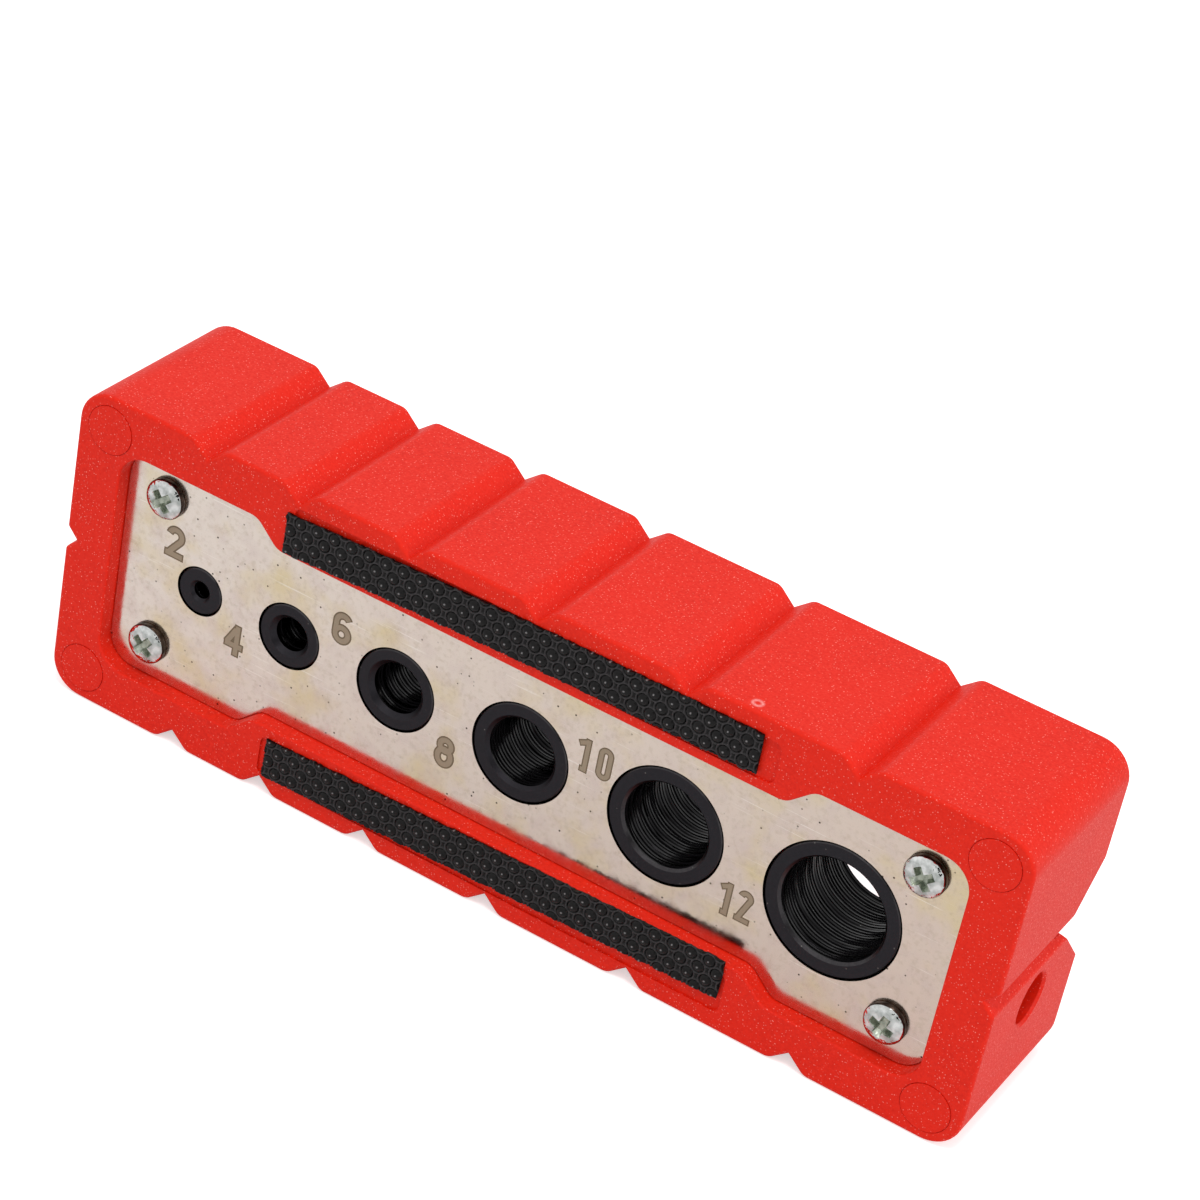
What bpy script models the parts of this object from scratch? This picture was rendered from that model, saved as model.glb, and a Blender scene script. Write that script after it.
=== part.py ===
"""Pocket drill guide: a moulded block with a waisted steel face plate, six drill bushes and two rubber strips.

The guide stands on one long side. X runs along the row of bushes, from the smallest to the largest, and the
plate faces -Y. The back is moulded hollow behind each bush, and the ribs and end walls that are left carry a
90 degree V groove that seats the guide on round bar or on a corner. All sizes are in metres.
"""
import math

import bmesh
import bpy

MILLIMETRE = 0.001

# Bushes: the bore, in millimetres, is the number beside each one and the number in its name.
BORES = (0.002, 0.004, 0.006, 0.008, 0.010, 0.012)
BUSH_WALL = 0.0020
BUSH_SPACE = 0.0050
BUSH_CHAMFER = 0.0003
BORE_CHAMFER = 0.0004
BUSH_END_CLEARANCE = 0.00015
ROW_SHIFT = 0.0010

# Block and the rim that stands round the plate.
BLOCK_HEIGHT = 0.0392
BLOCK_DEPTH = 0.0230
BLOCK_CORNER = 0.0040
BLOCK_EDGE = 0.00045
RIM_HEIGHT = 0.0020
RIM_END = 0.0060
RIM_SIDE = 0.0058
RIM_EDGE = 0.00025

# Face plate, narrow in the middle where the rubber strips lie.
PLATE_THICKNESS = 0.0020
PLATE_END_MARGIN = 0.0070
PLATE_CORNER = 0.0034
PLATE_EDGE = 0.00015
WAIST_STEP = 0.00275
WAIST_RUN = 0.0030
WAIST_BEND = 0.0022
WAIST_MARGIN = 0.0016

# Screws that hold the plate.
SCREW_INSET_X = 0.0050
SCREW_INSET_Z = 0.0040
HEAD_RADIUS = 0.0024
HEAD_SIDE = 0.0006
HEAD_CROWN = 0.0007
HEAD_EDGE = 0.0001
HEAD_STEPS = 4
SHANK_RADIUS = 0.0013
SHANK_LENGTH = 0.0090
RECESS_REACH = 0.00155
RECESS_BLADE = 0.00075
RECESS_DEPTH = 0.0011
RECESS_TAPER = 0.6
PILOT_SPARE = 0.0006
SCREW_TURNS = [math.radians(degrees) for degrees in (50.0, 54.0, 39.0, 17.0)]

# Rubber strips, stuck into shallow beds in the rim and laid a little askew.
STRIP_LENGTH = 0.0584
STRIP_WIDTH = 0.0048
STRIP_THICKNESS = 0.00045
STRIP_CORNER = 0.0003
STRIP_LIFT = 0.00005
BED_LENGTH = 0.0597
BED_SPARE = 0.0001
BED_DEPTH = 0.00025
BED_CORNER = 0.0009
BED_RIDGE = 0.00125
UPPER_STRIP_SHIFT = (-0.0014, -0.00015)
UPPER_STRIP_TURN = math.radians(1.0)
LOWER_STRIP_SHIFT = (0.0002, 0.0010)
LOWER_STRIP_TURN = math.radians(1.8)

# V groove along the back, and the hollows behind the bushes.
V_MOUTH = 0.0137
V_MOUTH_EDGE = 0.0003
V_MOUTH_EDGE_ANGLE = math.radians(67.5)
V_RELIEF_WIDTH = 0.0015
V_RELIEF_DEPTH = 0.0006
HOLLOW_LEDGE = 0.0012
HOLLOW_WALL = 0.0046
HOLLOW_CORNER = 0.0014
HOLLOW_DRAFT = math.radians(1.0)
BUSH_STAND = 0.0010

# Sighting grooves in the long sides and ends, and the hole in the right end.
SIGHT_DEPTH = 0.0018
SIGHT_HALF_WIDTH = 0.0021
SIGHT_SHOULDER = 0.0015
END_NOTCH_DEPTH = 0.0014
END_NOTCH_SHOULDER = 0.0006
END_HOLE_RADIUS = 0.0030
END_HOLE_WALL = 0.0023
END_HOLE_DROP = 0.0056
END_HOLE_SETBACK = 0.01115
END_HOLE_EDGE = 0.0003

# Round witness marks of the mould's ejector pins.
EJECTOR_RADIUS = 0.0030
EJECTOR_DEPTH = 0.00008
EJECTOR_INSET_X = 0.0042
EJECTOR_INSET_Z = 0.0040

# Space left between pieces that touch, how far a cutter passes a face, and how finely shapes are drawn.
SEAT = 0.0003
OVERRUN = 0.0010
SHORT_OVERRUN = 0.00025
ROUND_STEPS = 40
SMALL_ROUND_STEPS = 24
BUSH_STEPS = 32
SCREW_STEPS = 20
EDGE_STEPS = 2
ARC_STEP = math.radians(15.0)
MERGE_DISTANCE = 1e-7
SHARP_ANGLE = math.radians(30.0)

# Worked out from the sizes above.
BUSH_RADII = [bore / 2 + BUSH_WALL for bore in BORES]
ROW_LENGTH = 2 * sum(BUSH_RADII) + BUSH_SPACE * (len(BORES) - 1)
RECESS_LENGTH = ROW_LENGTH + 2 * PLATE_END_MARGIN
BLOCK_LENGTH = RECESS_LENGTH + 2 * RIM_END
RECESS_WIDE = BLOCK_HEIGHT / 2 - RIM_SIDE
RECESS_NARROW = RECESS_WIDE - WAIST_STEP
WAIST_HALF = BED_LENGTH / 2 + WAIST_MARGIN
STRIP_PROUD = STRIP_LIFT + STRIP_THICKNESS
BED_WIDTH = STRIP_WIDTH + 2 * BED_SPARE
BED_HEIGHT = RECESS_NARROW + BED_RIDGE + BED_WIDTH / 2
Y_RIM = STRIP_PROUD - (BLOCK_DEPTH + STRIP_PROUD) / 2
Y_PLATE = Y_RIM + RIM_HEIGHT
Y_PLATE_BACK = Y_PLATE + PLATE_THICKNESS
Y_BACK = Y_RIM + BLOCK_DEPTH
Y_V_APEX = Y_BACK - V_MOUTH / 2
Y_BUSH_END = Y_V_APEX - BUSH_END_CLEARANCE
Y_HOLLOW_FLOOR = Y_BUSH_END - BUSH_STAND
Y_PILOT_END = Y_PLATE - SEAT + SHANK_LENGTH + PILOT_SPARE
Z_MID = BLOCK_HEIGHT / 2


def bush_places():
    """Gives each bush's place along X, from the smallest bore to the largest."""
    places = []
    edge = ROW_SHIFT - ROW_LENGTH / 2
    for radius in BUSH_RADII:
        places.append(edge + radius)
        edge += 2 * radius + BUSH_SPACE
    return places


BUSH_X = bush_places()


def screw_places():
    """Gives the four plate screws' places as (name, x, z), z from the middle of the block."""
    x = RECESS_LENGTH / 2 - SEAT - SCREW_INSET_X
    z = RECESS_WIDE - SEAT - SCREW_INSET_Z
    return [
        ("screw_upper_left", -x, z),
        ("screw_upper_right", x, z),
        ("screw_lower_left", -x, -z),
        ("screw_lower_right", x, -z),
    ]


def clear_scene():
    for item in list(bpy.data.objects):
        bpy.data.objects.remove(item, do_unlink=True)


def make_material(name, colour, roughness, metallic=0.0):
    material = bpy.data.materials.new(name)
    material.use_nodes = True
    shader = material.node_tree.nodes["Principled BSDF"]
    shader.inputs["Base Color"].default_value = (*colour, 1.0)
    shader.inputs["Roughness"].default_value = roughness
    shader.inputs["Metallic"].default_value = metallic
    return material


def wrapped(angle):
    """Brings an angle to between minus and plus half a turn."""
    return (angle + math.pi) % (2 * math.pi) - math.pi


def moved_corners(corners, distance):
    """Moves each side of a counter-clockwise outline outwards by a distance and gives its new corners."""
    moved = []
    count = len(corners)
    for index, here in enumerate(corners):
        before = corners[index - 1]
        after = corners[(index + 1) % count]
        heading = math.atan2(here[1] - before[1], here[0] - before[0])
        half_turn = wrapped(math.atan2(after[1] - here[1], after[0] - here[0]) - heading) / 2
        reach = distance / math.cos(half_turn)
        outwards = heading + half_turn - math.pi / 2
        moved.append((here[0] + reach * math.cos(outwards), here[1] + reach * math.sin(outwards)))
    return moved


def rounded_outline(corners, distance, centre):
    """Gives the points of a rounded outline from counter-clockwise (a, b, radius) corners, moved outwards."""
    points = []
    moved = moved_corners(corners, distance)
    count = len(corners)
    for index, here in enumerate(moved):
        radius = corners[index][2]
        if radius == 0:
            points.append(here)
            continue
        before = moved[index - 1]
        after = moved[(index + 1) % count]
        heading = math.atan2(here[1] - before[1], here[0] - before[0])
        turn = wrapped(math.atan2(after[1] - here[1], after[0] - here[0]) - heading)
        side = math.copysign(1.0, turn)
        radius += side * distance
        setback = radius * math.tan(abs(turn) / 2)
        hub_x = here[0] - setback * math.cos(heading) - side * radius * math.sin(heading)
        hub_z = here[1] - setback * math.sin(heading) + side * radius * math.cos(heading)
        steps = max(2, round(abs(turn) / ARC_STEP))
        for step in range(steps + 1):
            angle = heading + turn * step / steps
            points.append((hub_x + side * radius * math.sin(angle), hub_z - side * radius * math.cos(angle)))
    return [(a + centre[0], b + centre[1]) for a, b in points]


def box_outline(length, width, corner, centre):
    """A rectangle with rounded corners."""
    half_length = length / 2
    half_width = width / 2
    corners = [
        (-half_length, -half_width, corner),
        (half_length, -half_width, corner),
        (half_length, half_width, corner),
        (-half_length, half_width, corner),
    ]
    return rounded_outline(corners, 0.0, centre)


def circle(radius, steps, centre=(0.0, 0.0)):
    angles = [2 * math.pi * step / steps for step in range(steps)]
    return [(centre[0] + radius * math.cos(angle), centre[1] + radius * math.sin(angle)) for angle in angles]


def cross(reach, half_blade):
    """The outline of a cross recess."""
    quarter = [(reach, -half_blade), (reach, half_blade), (half_blade, half_blade)]
    points = []
    for turn in range(4):
        for a, b in quarter:
            for _ in range(turn):
                a, b = -b, a
            points.append((a, b))
    return points


def add_object(name, bm, material=None):
    """Turns a bmesh into a named object, shaded smooth except at its sharp edges."""
    bmesh.ops.remove_doubles(bm, verts=bm.verts, dist=MERGE_DISTANCE)
    bmesh.ops.recalc_face_normals(bm, faces=bm.faces)
    mesh = bpy.data.meshes.new(name)
    bm.to_mesh(mesh)
    bm.free()
    mesh.shade_smooth()
    mesh.set_sharp_from_angle(angle=SHARP_ANGLE)
    if material:
        mesh.materials.append(material)
    item = bpy.data.objects.new(name, mesh)
    bpy.context.scene.collection.objects.link(item)
    return item


def loft(rings, along="Y"):
    """Skins closed rings of (a, b) points, each at its own place along an axis, and caps both ends."""
    bm = bmesh.new()
    loops = []
    for place, points in rings:
        if along == "Y":
            loops.append([bm.verts.new((a, place, b)) for a, b in points])
        else:
            loops.append([bm.verts.new((place, a, b)) for a, b in points])
    for near, far in zip(loops, loops[1:]):
        count = len(near)
        for index in range(count):
            after = (index + 1) % count
            bm.faces.new((near[index], near[after], far[after], far[index]))
    bm.faces.new(loops[0])
    bm.faces.new(loops[-1])
    return bm


def turned(profile, steps, closed=False):
    """Turns a profile of (radius, y) points once round the Y axis; an open one starts and ends on the axis."""
    bm = bmesh.new()
    verts = [bm.verts.new((radius, y, 0.0)) for radius, y in profile]
    edges = [bm.edges.new(pair) for pair in zip(verts, verts[1:])]
    if closed:
        edges.append(bm.edges.new((verts[-1], verts[0])))
    bmesh.ops.spin(
        bm,
        geom=verts + edges,
        cent=(0, 0, 0),
        axis=(0, 1, 0),
        angle=2 * math.pi,
        steps=steps,
        use_merge=True,
    )
    return bm


def rod(name, x, z, radius, y_from, y_to, steps):
    """A round cutter that runs along Y."""
    outline = circle(radius, steps, (x, z))
    return add_object(name, loft([(y_from, outline), (y_to, outline)]))


def quarter_steps(radius):
    """Gives (distance in from the outline, depth from the face) for a rounded edge, from the face inwards."""
    for step in range(EDGE_STEPS + 1):
        angle = math.pi / 2 * step / EDGE_STEPS
        yield radius * (1 - math.sin(angle)), radius * (1 - math.cos(angle))


def cut(item, cutters):
    """Takes a list of cutters away from an object with one exact boolean."""
    group = bpy.data.collections.new(item.name + "_cutters")
    bpy.context.scene.collection.children.link(group)
    for cutter in cutters:
        cutter.hide_render = True
        cutter.display_type = "WIRE"
        bpy.context.scene.collection.objects.unlink(cutter)
        group.objects.link(cutter)
    boolean = item.modifiers.new("cuts", "BOOLEAN")
    boolean.operation = "DIFFERENCE"
    boolean.operand_type = "COLLECTION"
    boolean.collection = group
    boolean.solver = "EXACT"


def vee(half_width, depth, shoulder):
    """A V notch as (place along the side, depth below it, corner radius), its shoulders rounded."""
    return [(-half_width, 0.0, shoulder), (0.0, depth, 0.0), (half_width, 0.0, shoulder)]


def block_outline(distance=0.0):
    """The block's front view: a rounded rectangle with a sighting groove at each bush and notched ends."""
    half_length = BLOCK_LENGTH / 2
    half_height = BLOCK_HEIGHT / 2
    groove = vee(SIGHT_HALF_WIDTH, SIGHT_DEPTH, SIGHT_SHOULDER)
    notch = vee(END_NOTCH_DEPTH, END_NOTCH_DEPTH, END_NOTCH_SHOULDER)
    corners = [(-half_length, -half_height, BLOCK_CORNER)]
    for x in BUSH_X:
        corners += [(x + along, -half_height + deep, radius) for along, deep, radius in groove]
    corners.append((half_length, -half_height, BLOCK_CORNER))
    corners += [(half_length - deep, along, radius) for along, deep, radius in notch]
    corners.append((half_length, half_height, BLOCK_CORNER))
    for x in reversed(BUSH_X):
        corners += [(x - along, half_height - deep, radius) for along, deep, radius in groove]
    corners.append((-half_length, half_height, BLOCK_CORNER))
    corners += [(-half_length + deep, -along, radius) for along, deep, radius in notch]
    return rounded_outline(corners, distance, (0.0, Z_MID))


def waisted_outline(distance=0.0):
    """The plate's bed in front view: a rounded rectangle that narrows between the strips."""
    half_length = RECESS_LENGTH / 2
    waist_end = WAIST_HALF + WAIST_RUN
    right = [
        (WAIST_HALF, -RECESS_NARROW, WAIST_BEND),
        (waist_end, -RECESS_WIDE, WAIST_BEND),
        (half_length, -RECESS_WIDE, PLATE_CORNER),
        (half_length, RECESS_WIDE, PLATE_CORNER),
        (waist_end, RECESS_WIDE, WAIST_BEND),
        (WAIST_HALF, RECESS_NARROW, WAIST_BEND),
    ]
    left = [(-x, -z, radius) for x, z, radius in right]
    return rounded_outline(right + left, distance, (0.0, Z_MID))


def make_block(material):
    rings = []
    for inset, depth in quarter_steps(BLOCK_EDGE):
        rings.append((Y_RIM + depth, block_outline(-inset)))
    for inset, depth in reversed(list(quarter_steps(BLOCK_EDGE))):
        rings.append((Y_BACK - depth, block_outline(-inset)))
    block = add_object("block", loft(rings), material)
    cutters = [plate_bed_cutter(), groove_cutter(), end_hole_cutter()]
    for index, (x, radius) in enumerate(zip(BUSH_X, BUSH_RADII)):
        cutters.append(rod(f"bush_hole_{index}", x, Z_MID, radius + SEAT, Y_PLATE, Y_BACK, ROUND_STEPS))
        cutters.append(hollow_cutter(f"hollow_{index}", x, radius))
    for name, x, z in screw_places():
        pilot = rod("pilot_" + name, x, Z_MID + z, SHANK_RADIUS + SEAT, Y_PLATE, Y_PILOT_END, SMALL_ROUND_STEPS)
        cutters.append(pilot)
    for side in (-1, 1):
        cutters.append(bed_cutter(f"bed_{side}", side))
        for end in (-1, 1):
            x = end * (BLOCK_LENGTH / 2 - EJECTOR_INSET_X)
            z = Z_MID + side * (BLOCK_HEIGHT / 2 - EJECTOR_INSET_Z)
            name = f"ejector_{end}_{side}"
            front = Y_RIM - OVERRUN
            cutters.append(rod(name, x, z, EJECTOR_RADIUS, front, Y_RIM + EJECTOR_DEPTH, SMALL_ROUND_STEPS))
    cut(block, cutters)


def plate_bed_cutter():
    """The bed that the plate lies in, as deep as the rim and the plate, with its mouth's edge rounded."""
    rings = [(Y_RIM - OVERRUN, waisted_outline(RIM_EDGE))]
    for outset, depth in quarter_steps(RIM_EDGE):
        rings.append((Y_RIM + depth, waisted_outline(outset)))
    rings.append((Y_PLATE_BACK + SEAT, waisted_outline()))
    return add_object("plate_bed", loft(rings))


def bed_cutter(name, side):
    """A strip's shallow bed in the rim, above the plate for side 1 and below it for side -1."""
    outline = box_outline(BED_LENGTH, BED_WIDTH, BED_CORNER, (0.0, Z_MID + side * BED_HEIGHT))
    return add_object(name, loft([(Y_RIM - OVERRUN, outline), (Y_RIM + BED_DEPTH, outline)]))


def hollow_cutter(name, x, bush_radius):
    """The moulded hollow behind one bush, open at the back and drawn in towards its floor."""
    depth = Y_BACK + OVERRUN - Y_HOLLOW_FLOOR
    width = 2 * (bush_radius + HOLLOW_LEDGE)
    height = BLOCK_HEIGHT - 2 * HOLLOW_WALL
    drawn_in = 2 * depth * math.tan(HOLLOW_DRAFT)
    mouth = box_outline(width, height, HOLLOW_CORNER, (x, Z_MID))
    floor = box_outline(width - drawn_in, height - drawn_in, HOLLOW_CORNER, (x, Z_MID))
    return add_object(name, loft([(Y_HOLLOW_FLOOR, floor), (Y_BACK + OVERRUN, mouth)]))


def groove_cutter():
    """The V groove's section, with a relief slot at its root and broken mouth edges, run past both ends."""
    half_slot = V_RELIEF_WIDTH / 2
    half_mouth = V_MOUTH / 2 - V_MOUTH_EDGE
    broken = (V_MOUTH_EDGE + OVERRUN) * math.tan(V_MOUTH_EDGE_ANGLE)
    upper = [
        (Y_BACK + OVERRUN, half_mouth + broken),
        (Y_BACK - V_MOUTH_EDGE, half_mouth),
        (Y_V_APEX + half_slot, half_slot),
        (Y_V_APEX - V_RELIEF_DEPTH, half_slot),
    ]
    section = [(y, Z_MID + z) for y, z in upper]
    section += [(y, Z_MID - z) for y, z in reversed(upper)]
    reach = BLOCK_LENGTH / 2 + OVERRUN
    return add_object("v_groove", loft([(-reach, section), (reach, section)], "X"))


def end_hole_cutter():
    """The blind hole in the right end, its mouth broken by a small chamfer."""
    centre = (Y_RIM + END_HOLE_SETBACK, Z_MID - END_HOLE_DROP)
    floor = BUSH_X[-1] + BUSH_RADII[-1] + HOLLOW_LEDGE + END_HOLE_WALL
    end = BLOCK_LENGTH / 2
    rings = [
        (floor, circle(END_HOLE_RADIUS, ROUND_STEPS, centre)),
        (end - END_HOLE_EDGE, circle(END_HOLE_RADIUS, ROUND_STEPS, centre)),
        (end + OVERRUN, circle(END_HOLE_RADIUS + END_HOLE_EDGE + OVERRUN, ROUND_STEPS, centre)),
    ]
    return add_object("end_hole", loft(rings, "X"))


def make_plate(material):
    rings = [
        (Y_PLATE, waisted_outline(-SEAT - PLATE_EDGE)),
        (Y_PLATE + PLATE_EDGE, waisted_outline(-SEAT)),
        (Y_PLATE_BACK, waisted_outline(-SEAT)),
    ]
    plate = add_object("face_plate", loft(rings), material)
    front = Y_PLATE - OVERRUN
    back = Y_PLATE_BACK + OVERRUN
    cutters = []
    for index, (x, radius) in enumerate(zip(BUSH_X, BUSH_RADII)):
        cutters.append(rod(f"plate_bush_hole_{index}", x, Z_MID, radius + SEAT, front, back, BUSH_STEPS))
    for name, x, z in screw_places():
        hole = rod("plate_hole_" + name, x, Z_MID + z, SHANK_RADIUS + SEAT, front, back, SCREW_STEPS)
        cutters.append(hole)
    cut(plate, cutters)


def make_bushes(material):
    """Each bush is a plain turned sleeve, flush with the plate and ending just short of the V groove's root."""
    for x, bore, outer in zip(BUSH_X, BORES, BUSH_RADII):
        inner = bore / 2
        profile = [
            (outer - BUSH_CHAMFER, Y_PLATE),
            (outer, Y_PLATE + BUSH_CHAMFER),
            (outer, Y_BUSH_END - BUSH_CHAMFER),
            (outer - BUSH_CHAMFER, Y_BUSH_END),
            (inner + BORE_CHAMFER, Y_BUSH_END),
            (inner, Y_BUSH_END - BORE_CHAMFER),
            (inner, Y_PLATE + BORE_CHAMFER),
            (inner + BORE_CHAMFER, Y_PLATE),
        ]
        name = f"bush_{round(bore / MILLIMETRE)}"
        bush = add_object(name, turned(profile, BUSH_STEPS, closed=True), material)
        bush.location = (x, 0.0, Z_MID)


def make_screws(material):
    """Pan head screws with a cross recess, each left at its own angle."""
    under = Y_PLATE - SEAT
    side_top = under - HEAD_SIDE
    tip = under + SHANK_LENGTH
    profile = []
    for step in range(HEAD_STEPS + 1):
        angle = math.pi / 2 * step / HEAD_STEPS
        profile.append((HEAD_RADIUS * math.sin(angle), side_top - HEAD_CROWN * math.cos(angle)))
    profile += [
        (HEAD_RADIUS, under - HEAD_EDGE),
        (HEAD_RADIUS - HEAD_EDGE, under),
        (SHANK_RADIUS, under),
        (SHANK_RADIUS, tip - SHANK_RADIUS),
        (0.0, tip),
    ]
    top = side_top - HEAD_CROWN
    for (name, x, z), turn in zip(screw_places(), SCREW_TURNS):
        screw = add_object(name, turned(profile, SCREW_STEPS), material)
        rings = [
            (top - SHORT_OVERRUN, cross(RECESS_REACH, RECESS_BLADE / 2)),
            (top + RECESS_DEPTH, cross(RECESS_REACH * RECESS_TAPER, RECESS_BLADE * RECESS_TAPER / 2)),
        ]
        recess = add_object("recess_" + name, loft(rings))
        for item in (screw, recess):
            item.location = (x, 0.0, Z_MID + z)
            item.rotation_euler = (0.0, turn, 0.0)
        cut(screw, [recess])


def make_strips(material):
    """Rubber strips that stand just proud of the rim; each lies over its bed as it was stuck down by hand."""
    places = [
        ("upper_strip", 1, UPPER_STRIP_SHIFT, UPPER_STRIP_TURN),
        ("lower_strip", -1, LOWER_STRIP_SHIFT, LOWER_STRIP_TURN),
    ]
    outline = box_outline(STRIP_LENGTH, STRIP_WIDTH, STRIP_CORNER, (0.0, 0.0))
    for name, side, shift, turn in places:
        strip = add_object(name, loft([(-STRIP_PROUD, outline), (-STRIP_LIFT, outline)]), material)
        strip.location = (shift[0], Y_RIM, Z_MID + side * BED_HEIGHT + shift[1])
        strip.rotation_euler = (0.0, -turn, 0.0)


def main():
    clear_scene()
    make_block(make_material("red_moulded_plastic", (0.70, 0.022, 0.013), 0.42))
    make_plate(make_material("plated_steel", (0.68, 0.64, 0.58), 0.35, 1.0))
    make_bushes(make_material("black_oxide_steel", (0.025, 0.024, 0.027), 0.45, 1.0))
    make_screws(make_material("bright_zinc", (0.78, 0.79, 0.76), 0.22, 1.0))
    make_strips(make_material("black_rubber", (0.014, 0.013, 0.014), 0.8))


main()
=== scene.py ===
"""Looks of a pocket drill guide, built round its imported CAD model.

The guide is a red moulded block with a plated steel face plate in a bed at its front, six black
drill bushes, four plate screws, two rubber strips and the bore numbers marked on the plate. It
stands on one long side. X runs along the row of bushes, the plate faces -Y and Z is up. All
sizes are in metres.
"""

import math

import bmesh
import bpy
import numpy as np
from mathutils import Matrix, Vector, noise


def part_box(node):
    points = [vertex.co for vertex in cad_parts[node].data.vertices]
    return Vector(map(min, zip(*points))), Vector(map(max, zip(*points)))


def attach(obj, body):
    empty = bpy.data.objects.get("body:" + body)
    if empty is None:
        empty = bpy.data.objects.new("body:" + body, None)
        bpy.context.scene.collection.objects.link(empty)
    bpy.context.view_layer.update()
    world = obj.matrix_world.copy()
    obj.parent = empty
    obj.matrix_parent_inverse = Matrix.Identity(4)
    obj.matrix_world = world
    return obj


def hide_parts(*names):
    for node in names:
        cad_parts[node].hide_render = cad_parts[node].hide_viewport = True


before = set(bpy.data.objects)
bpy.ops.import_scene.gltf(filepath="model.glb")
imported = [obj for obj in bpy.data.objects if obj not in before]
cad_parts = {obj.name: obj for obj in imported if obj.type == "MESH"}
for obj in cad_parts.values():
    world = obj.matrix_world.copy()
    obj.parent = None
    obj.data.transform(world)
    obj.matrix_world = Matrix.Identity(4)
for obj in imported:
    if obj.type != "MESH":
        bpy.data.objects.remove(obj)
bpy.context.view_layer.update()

bl_info = {
    "name": "Drill Guide Looks",
    "version": (1, 0, 0),
    "blender": (4, 5, 0),
    "location": "View3D > Sidebar > Drill Guide",
    "description": "Dresses the packed drill guide in finished surfaces and fine shapes",
    "category": "Object",
}

MM = 0.001
BORES = (2, 4, 6, 8, 10, 12)
SCREWS = ("upper_left", "upper_right", "lower_left", "lower_right")

# Places read from the CAD model.
BLOCK_LOW, BLOCK_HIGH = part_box("block")
PLATE_LOW, PLATE_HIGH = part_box("face_plate")
BUSH_BOXES = {bore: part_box(f"bush_{bore}") for bore in BORES}
SCREW_BOXES = {name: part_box(f"screw_{name}") for name in SCREWS}
STRIP_BOXES = {name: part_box(f"{name}_strip") for name in ("upper", "lower")}
BUSH_X = {bore: (low.x + high.x) / 2 for bore, (low, high) in BUSH_BOXES.items()}
BUSH_RADIUS = {bore: (high.x - low.x) / 2 for bore, (low, high) in BUSH_BOXES.items()}
SCREW_SPOTS = {
    name: ((low.x + high.x) / 2, (low.z + high.z) / 2) for name, (low, high) in SCREW_BOXES.items()
}
HALF_LENGTH = (BLOCK_HIGH.x - BLOCK_LOW.x) / 2
HALF_HEIGHT = (BLOCK_HIGH.z - BLOCK_LOW.z) / 2
Z_MID = (BLOCK_LOW.z + BLOCK_HIGH.z) / 2
Y_RIM = BLOCK_LOW.y
Y_BACK = BLOCK_HIGH.y
Y_PLATE = PLATE_LOW.y
Y_PLATE_BACK = PLATE_HIGH.y
Y_BUSH_END = BUSH_BOXES[12][1].y

# How finely round shapes are drawn, the angle from which an edge looks sharp, how far a cutter
# passes a face, and the clearance round a seated piece.
ARC_STEP = math.radians(7.5)
EDGE_STEPS = 4
SHARP_ANGLE = math.radians(30.0)
OVERRUN = 1.0 * MM
SEAT = 0.3 * MM


def linear(hex_colour):
    """Turns an sRGB hex colour into linear red, green and blue."""
    values = []
    for start in (1, 3, 5):
        value = int(hex_colour[start:start + 2], 16) / 255
        values.append(value / 12.92 if value <= 0.04045 else ((value + 0.055) / 1.055) ** 2.4)
    return tuple(values)


def rgba(hex_colour):
    return (*linear(hex_colour), 1.0)


def length(name, description, default):
    """A size in metres that the sidebar shows in the scene's own unit."""
    return bpy.props.FloatProperty(
        name=name, description=description, default=default, min=0.0, unit="LENGTH", precision=5
    )


def colour(name, description, default):
    return bpy.props.FloatVectorProperty(
        name=name, description=description, default=linear(default), size=3, min=0.0, max=1.0,
        subtype="COLOR",
    )


def strength(name, description, default, unit="NONE"):
    return bpy.props.FloatProperty(
        name=name, description=description, default=default, min=0.0, unit=unit
    )


def group(kind, name, description):
    return bpy.props.PointerProperty(type=kind, name=name, description=description)


class GUIDE_PG_block(bpy.types.PropertyGroup):
    """Sizes and colour of the moulded block."""

    corner: length("Corner radius", "Radius of the block's four long corners", 4.0 * MM)
    edge: length("Edge radius", "Radius of the edges round the front and back faces", 0.45 * MM)
    bed_edge: length("Bed edge radius", "Radius of the edge round the plate's bed", 0.25 * MM)
    groove_depth: length("Groove depth", "Depth of the sighting grooves", 1.8 * MM)
    groove_half: length("Groove half width", "Half the width of a sighting groove", 2.1 * MM)
    groove_shoulder: length("Groove shoulder", "Radius of a groove's shoulders", 1.5 * MM)
    notch_depth: length("End notch depth", "Depth of the notch in each end", 1.4 * MM)
    notch_shoulder: length("End notch shoulder", "Radius of an end notch's shoulders", 0.6 * MM)
    v_mouth: length("V groove mouth", "Width of the V groove at the back face", 13.7 * MM)
    colour: colour("Plastic colour", "Colour of the moulded plastic", "#E72003")


class GUIDE_PG_plate(bpy.types.PropertyGroup):
    """Sizes and colours of the face plate and the numbers marked on it."""

    gap: length("Gap", "Gap between the plate and the wall of its bed", 0.05 * MM)
    edge: length("Edge radius", "Radius of the plate's front edge", 0.12 * MM)
    number_height: length("Number height", "Height of the bore numbers", 4.1 * MM)
    number_stroke: length("Number stroke", "Width of the numbers' strokes", 0.95 * MM)
    colour: colour("Plating colour", "Colour of the plating at the small bores", "#E8DDD3")
    # Painted shade: the plating is coloured darker towards the large bores.
    shaded_colour_far: colour("Far plating colour", "Colour of the plating at the large bores", "#DBCABD")
    mark: colour("Mark colour", "Colour of the numbers at the middle of their strokes", "#9C8B76")
    mark_edge: colour("Mark edge colour", "Colour of the numbers at their edges", "#75654F")


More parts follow.
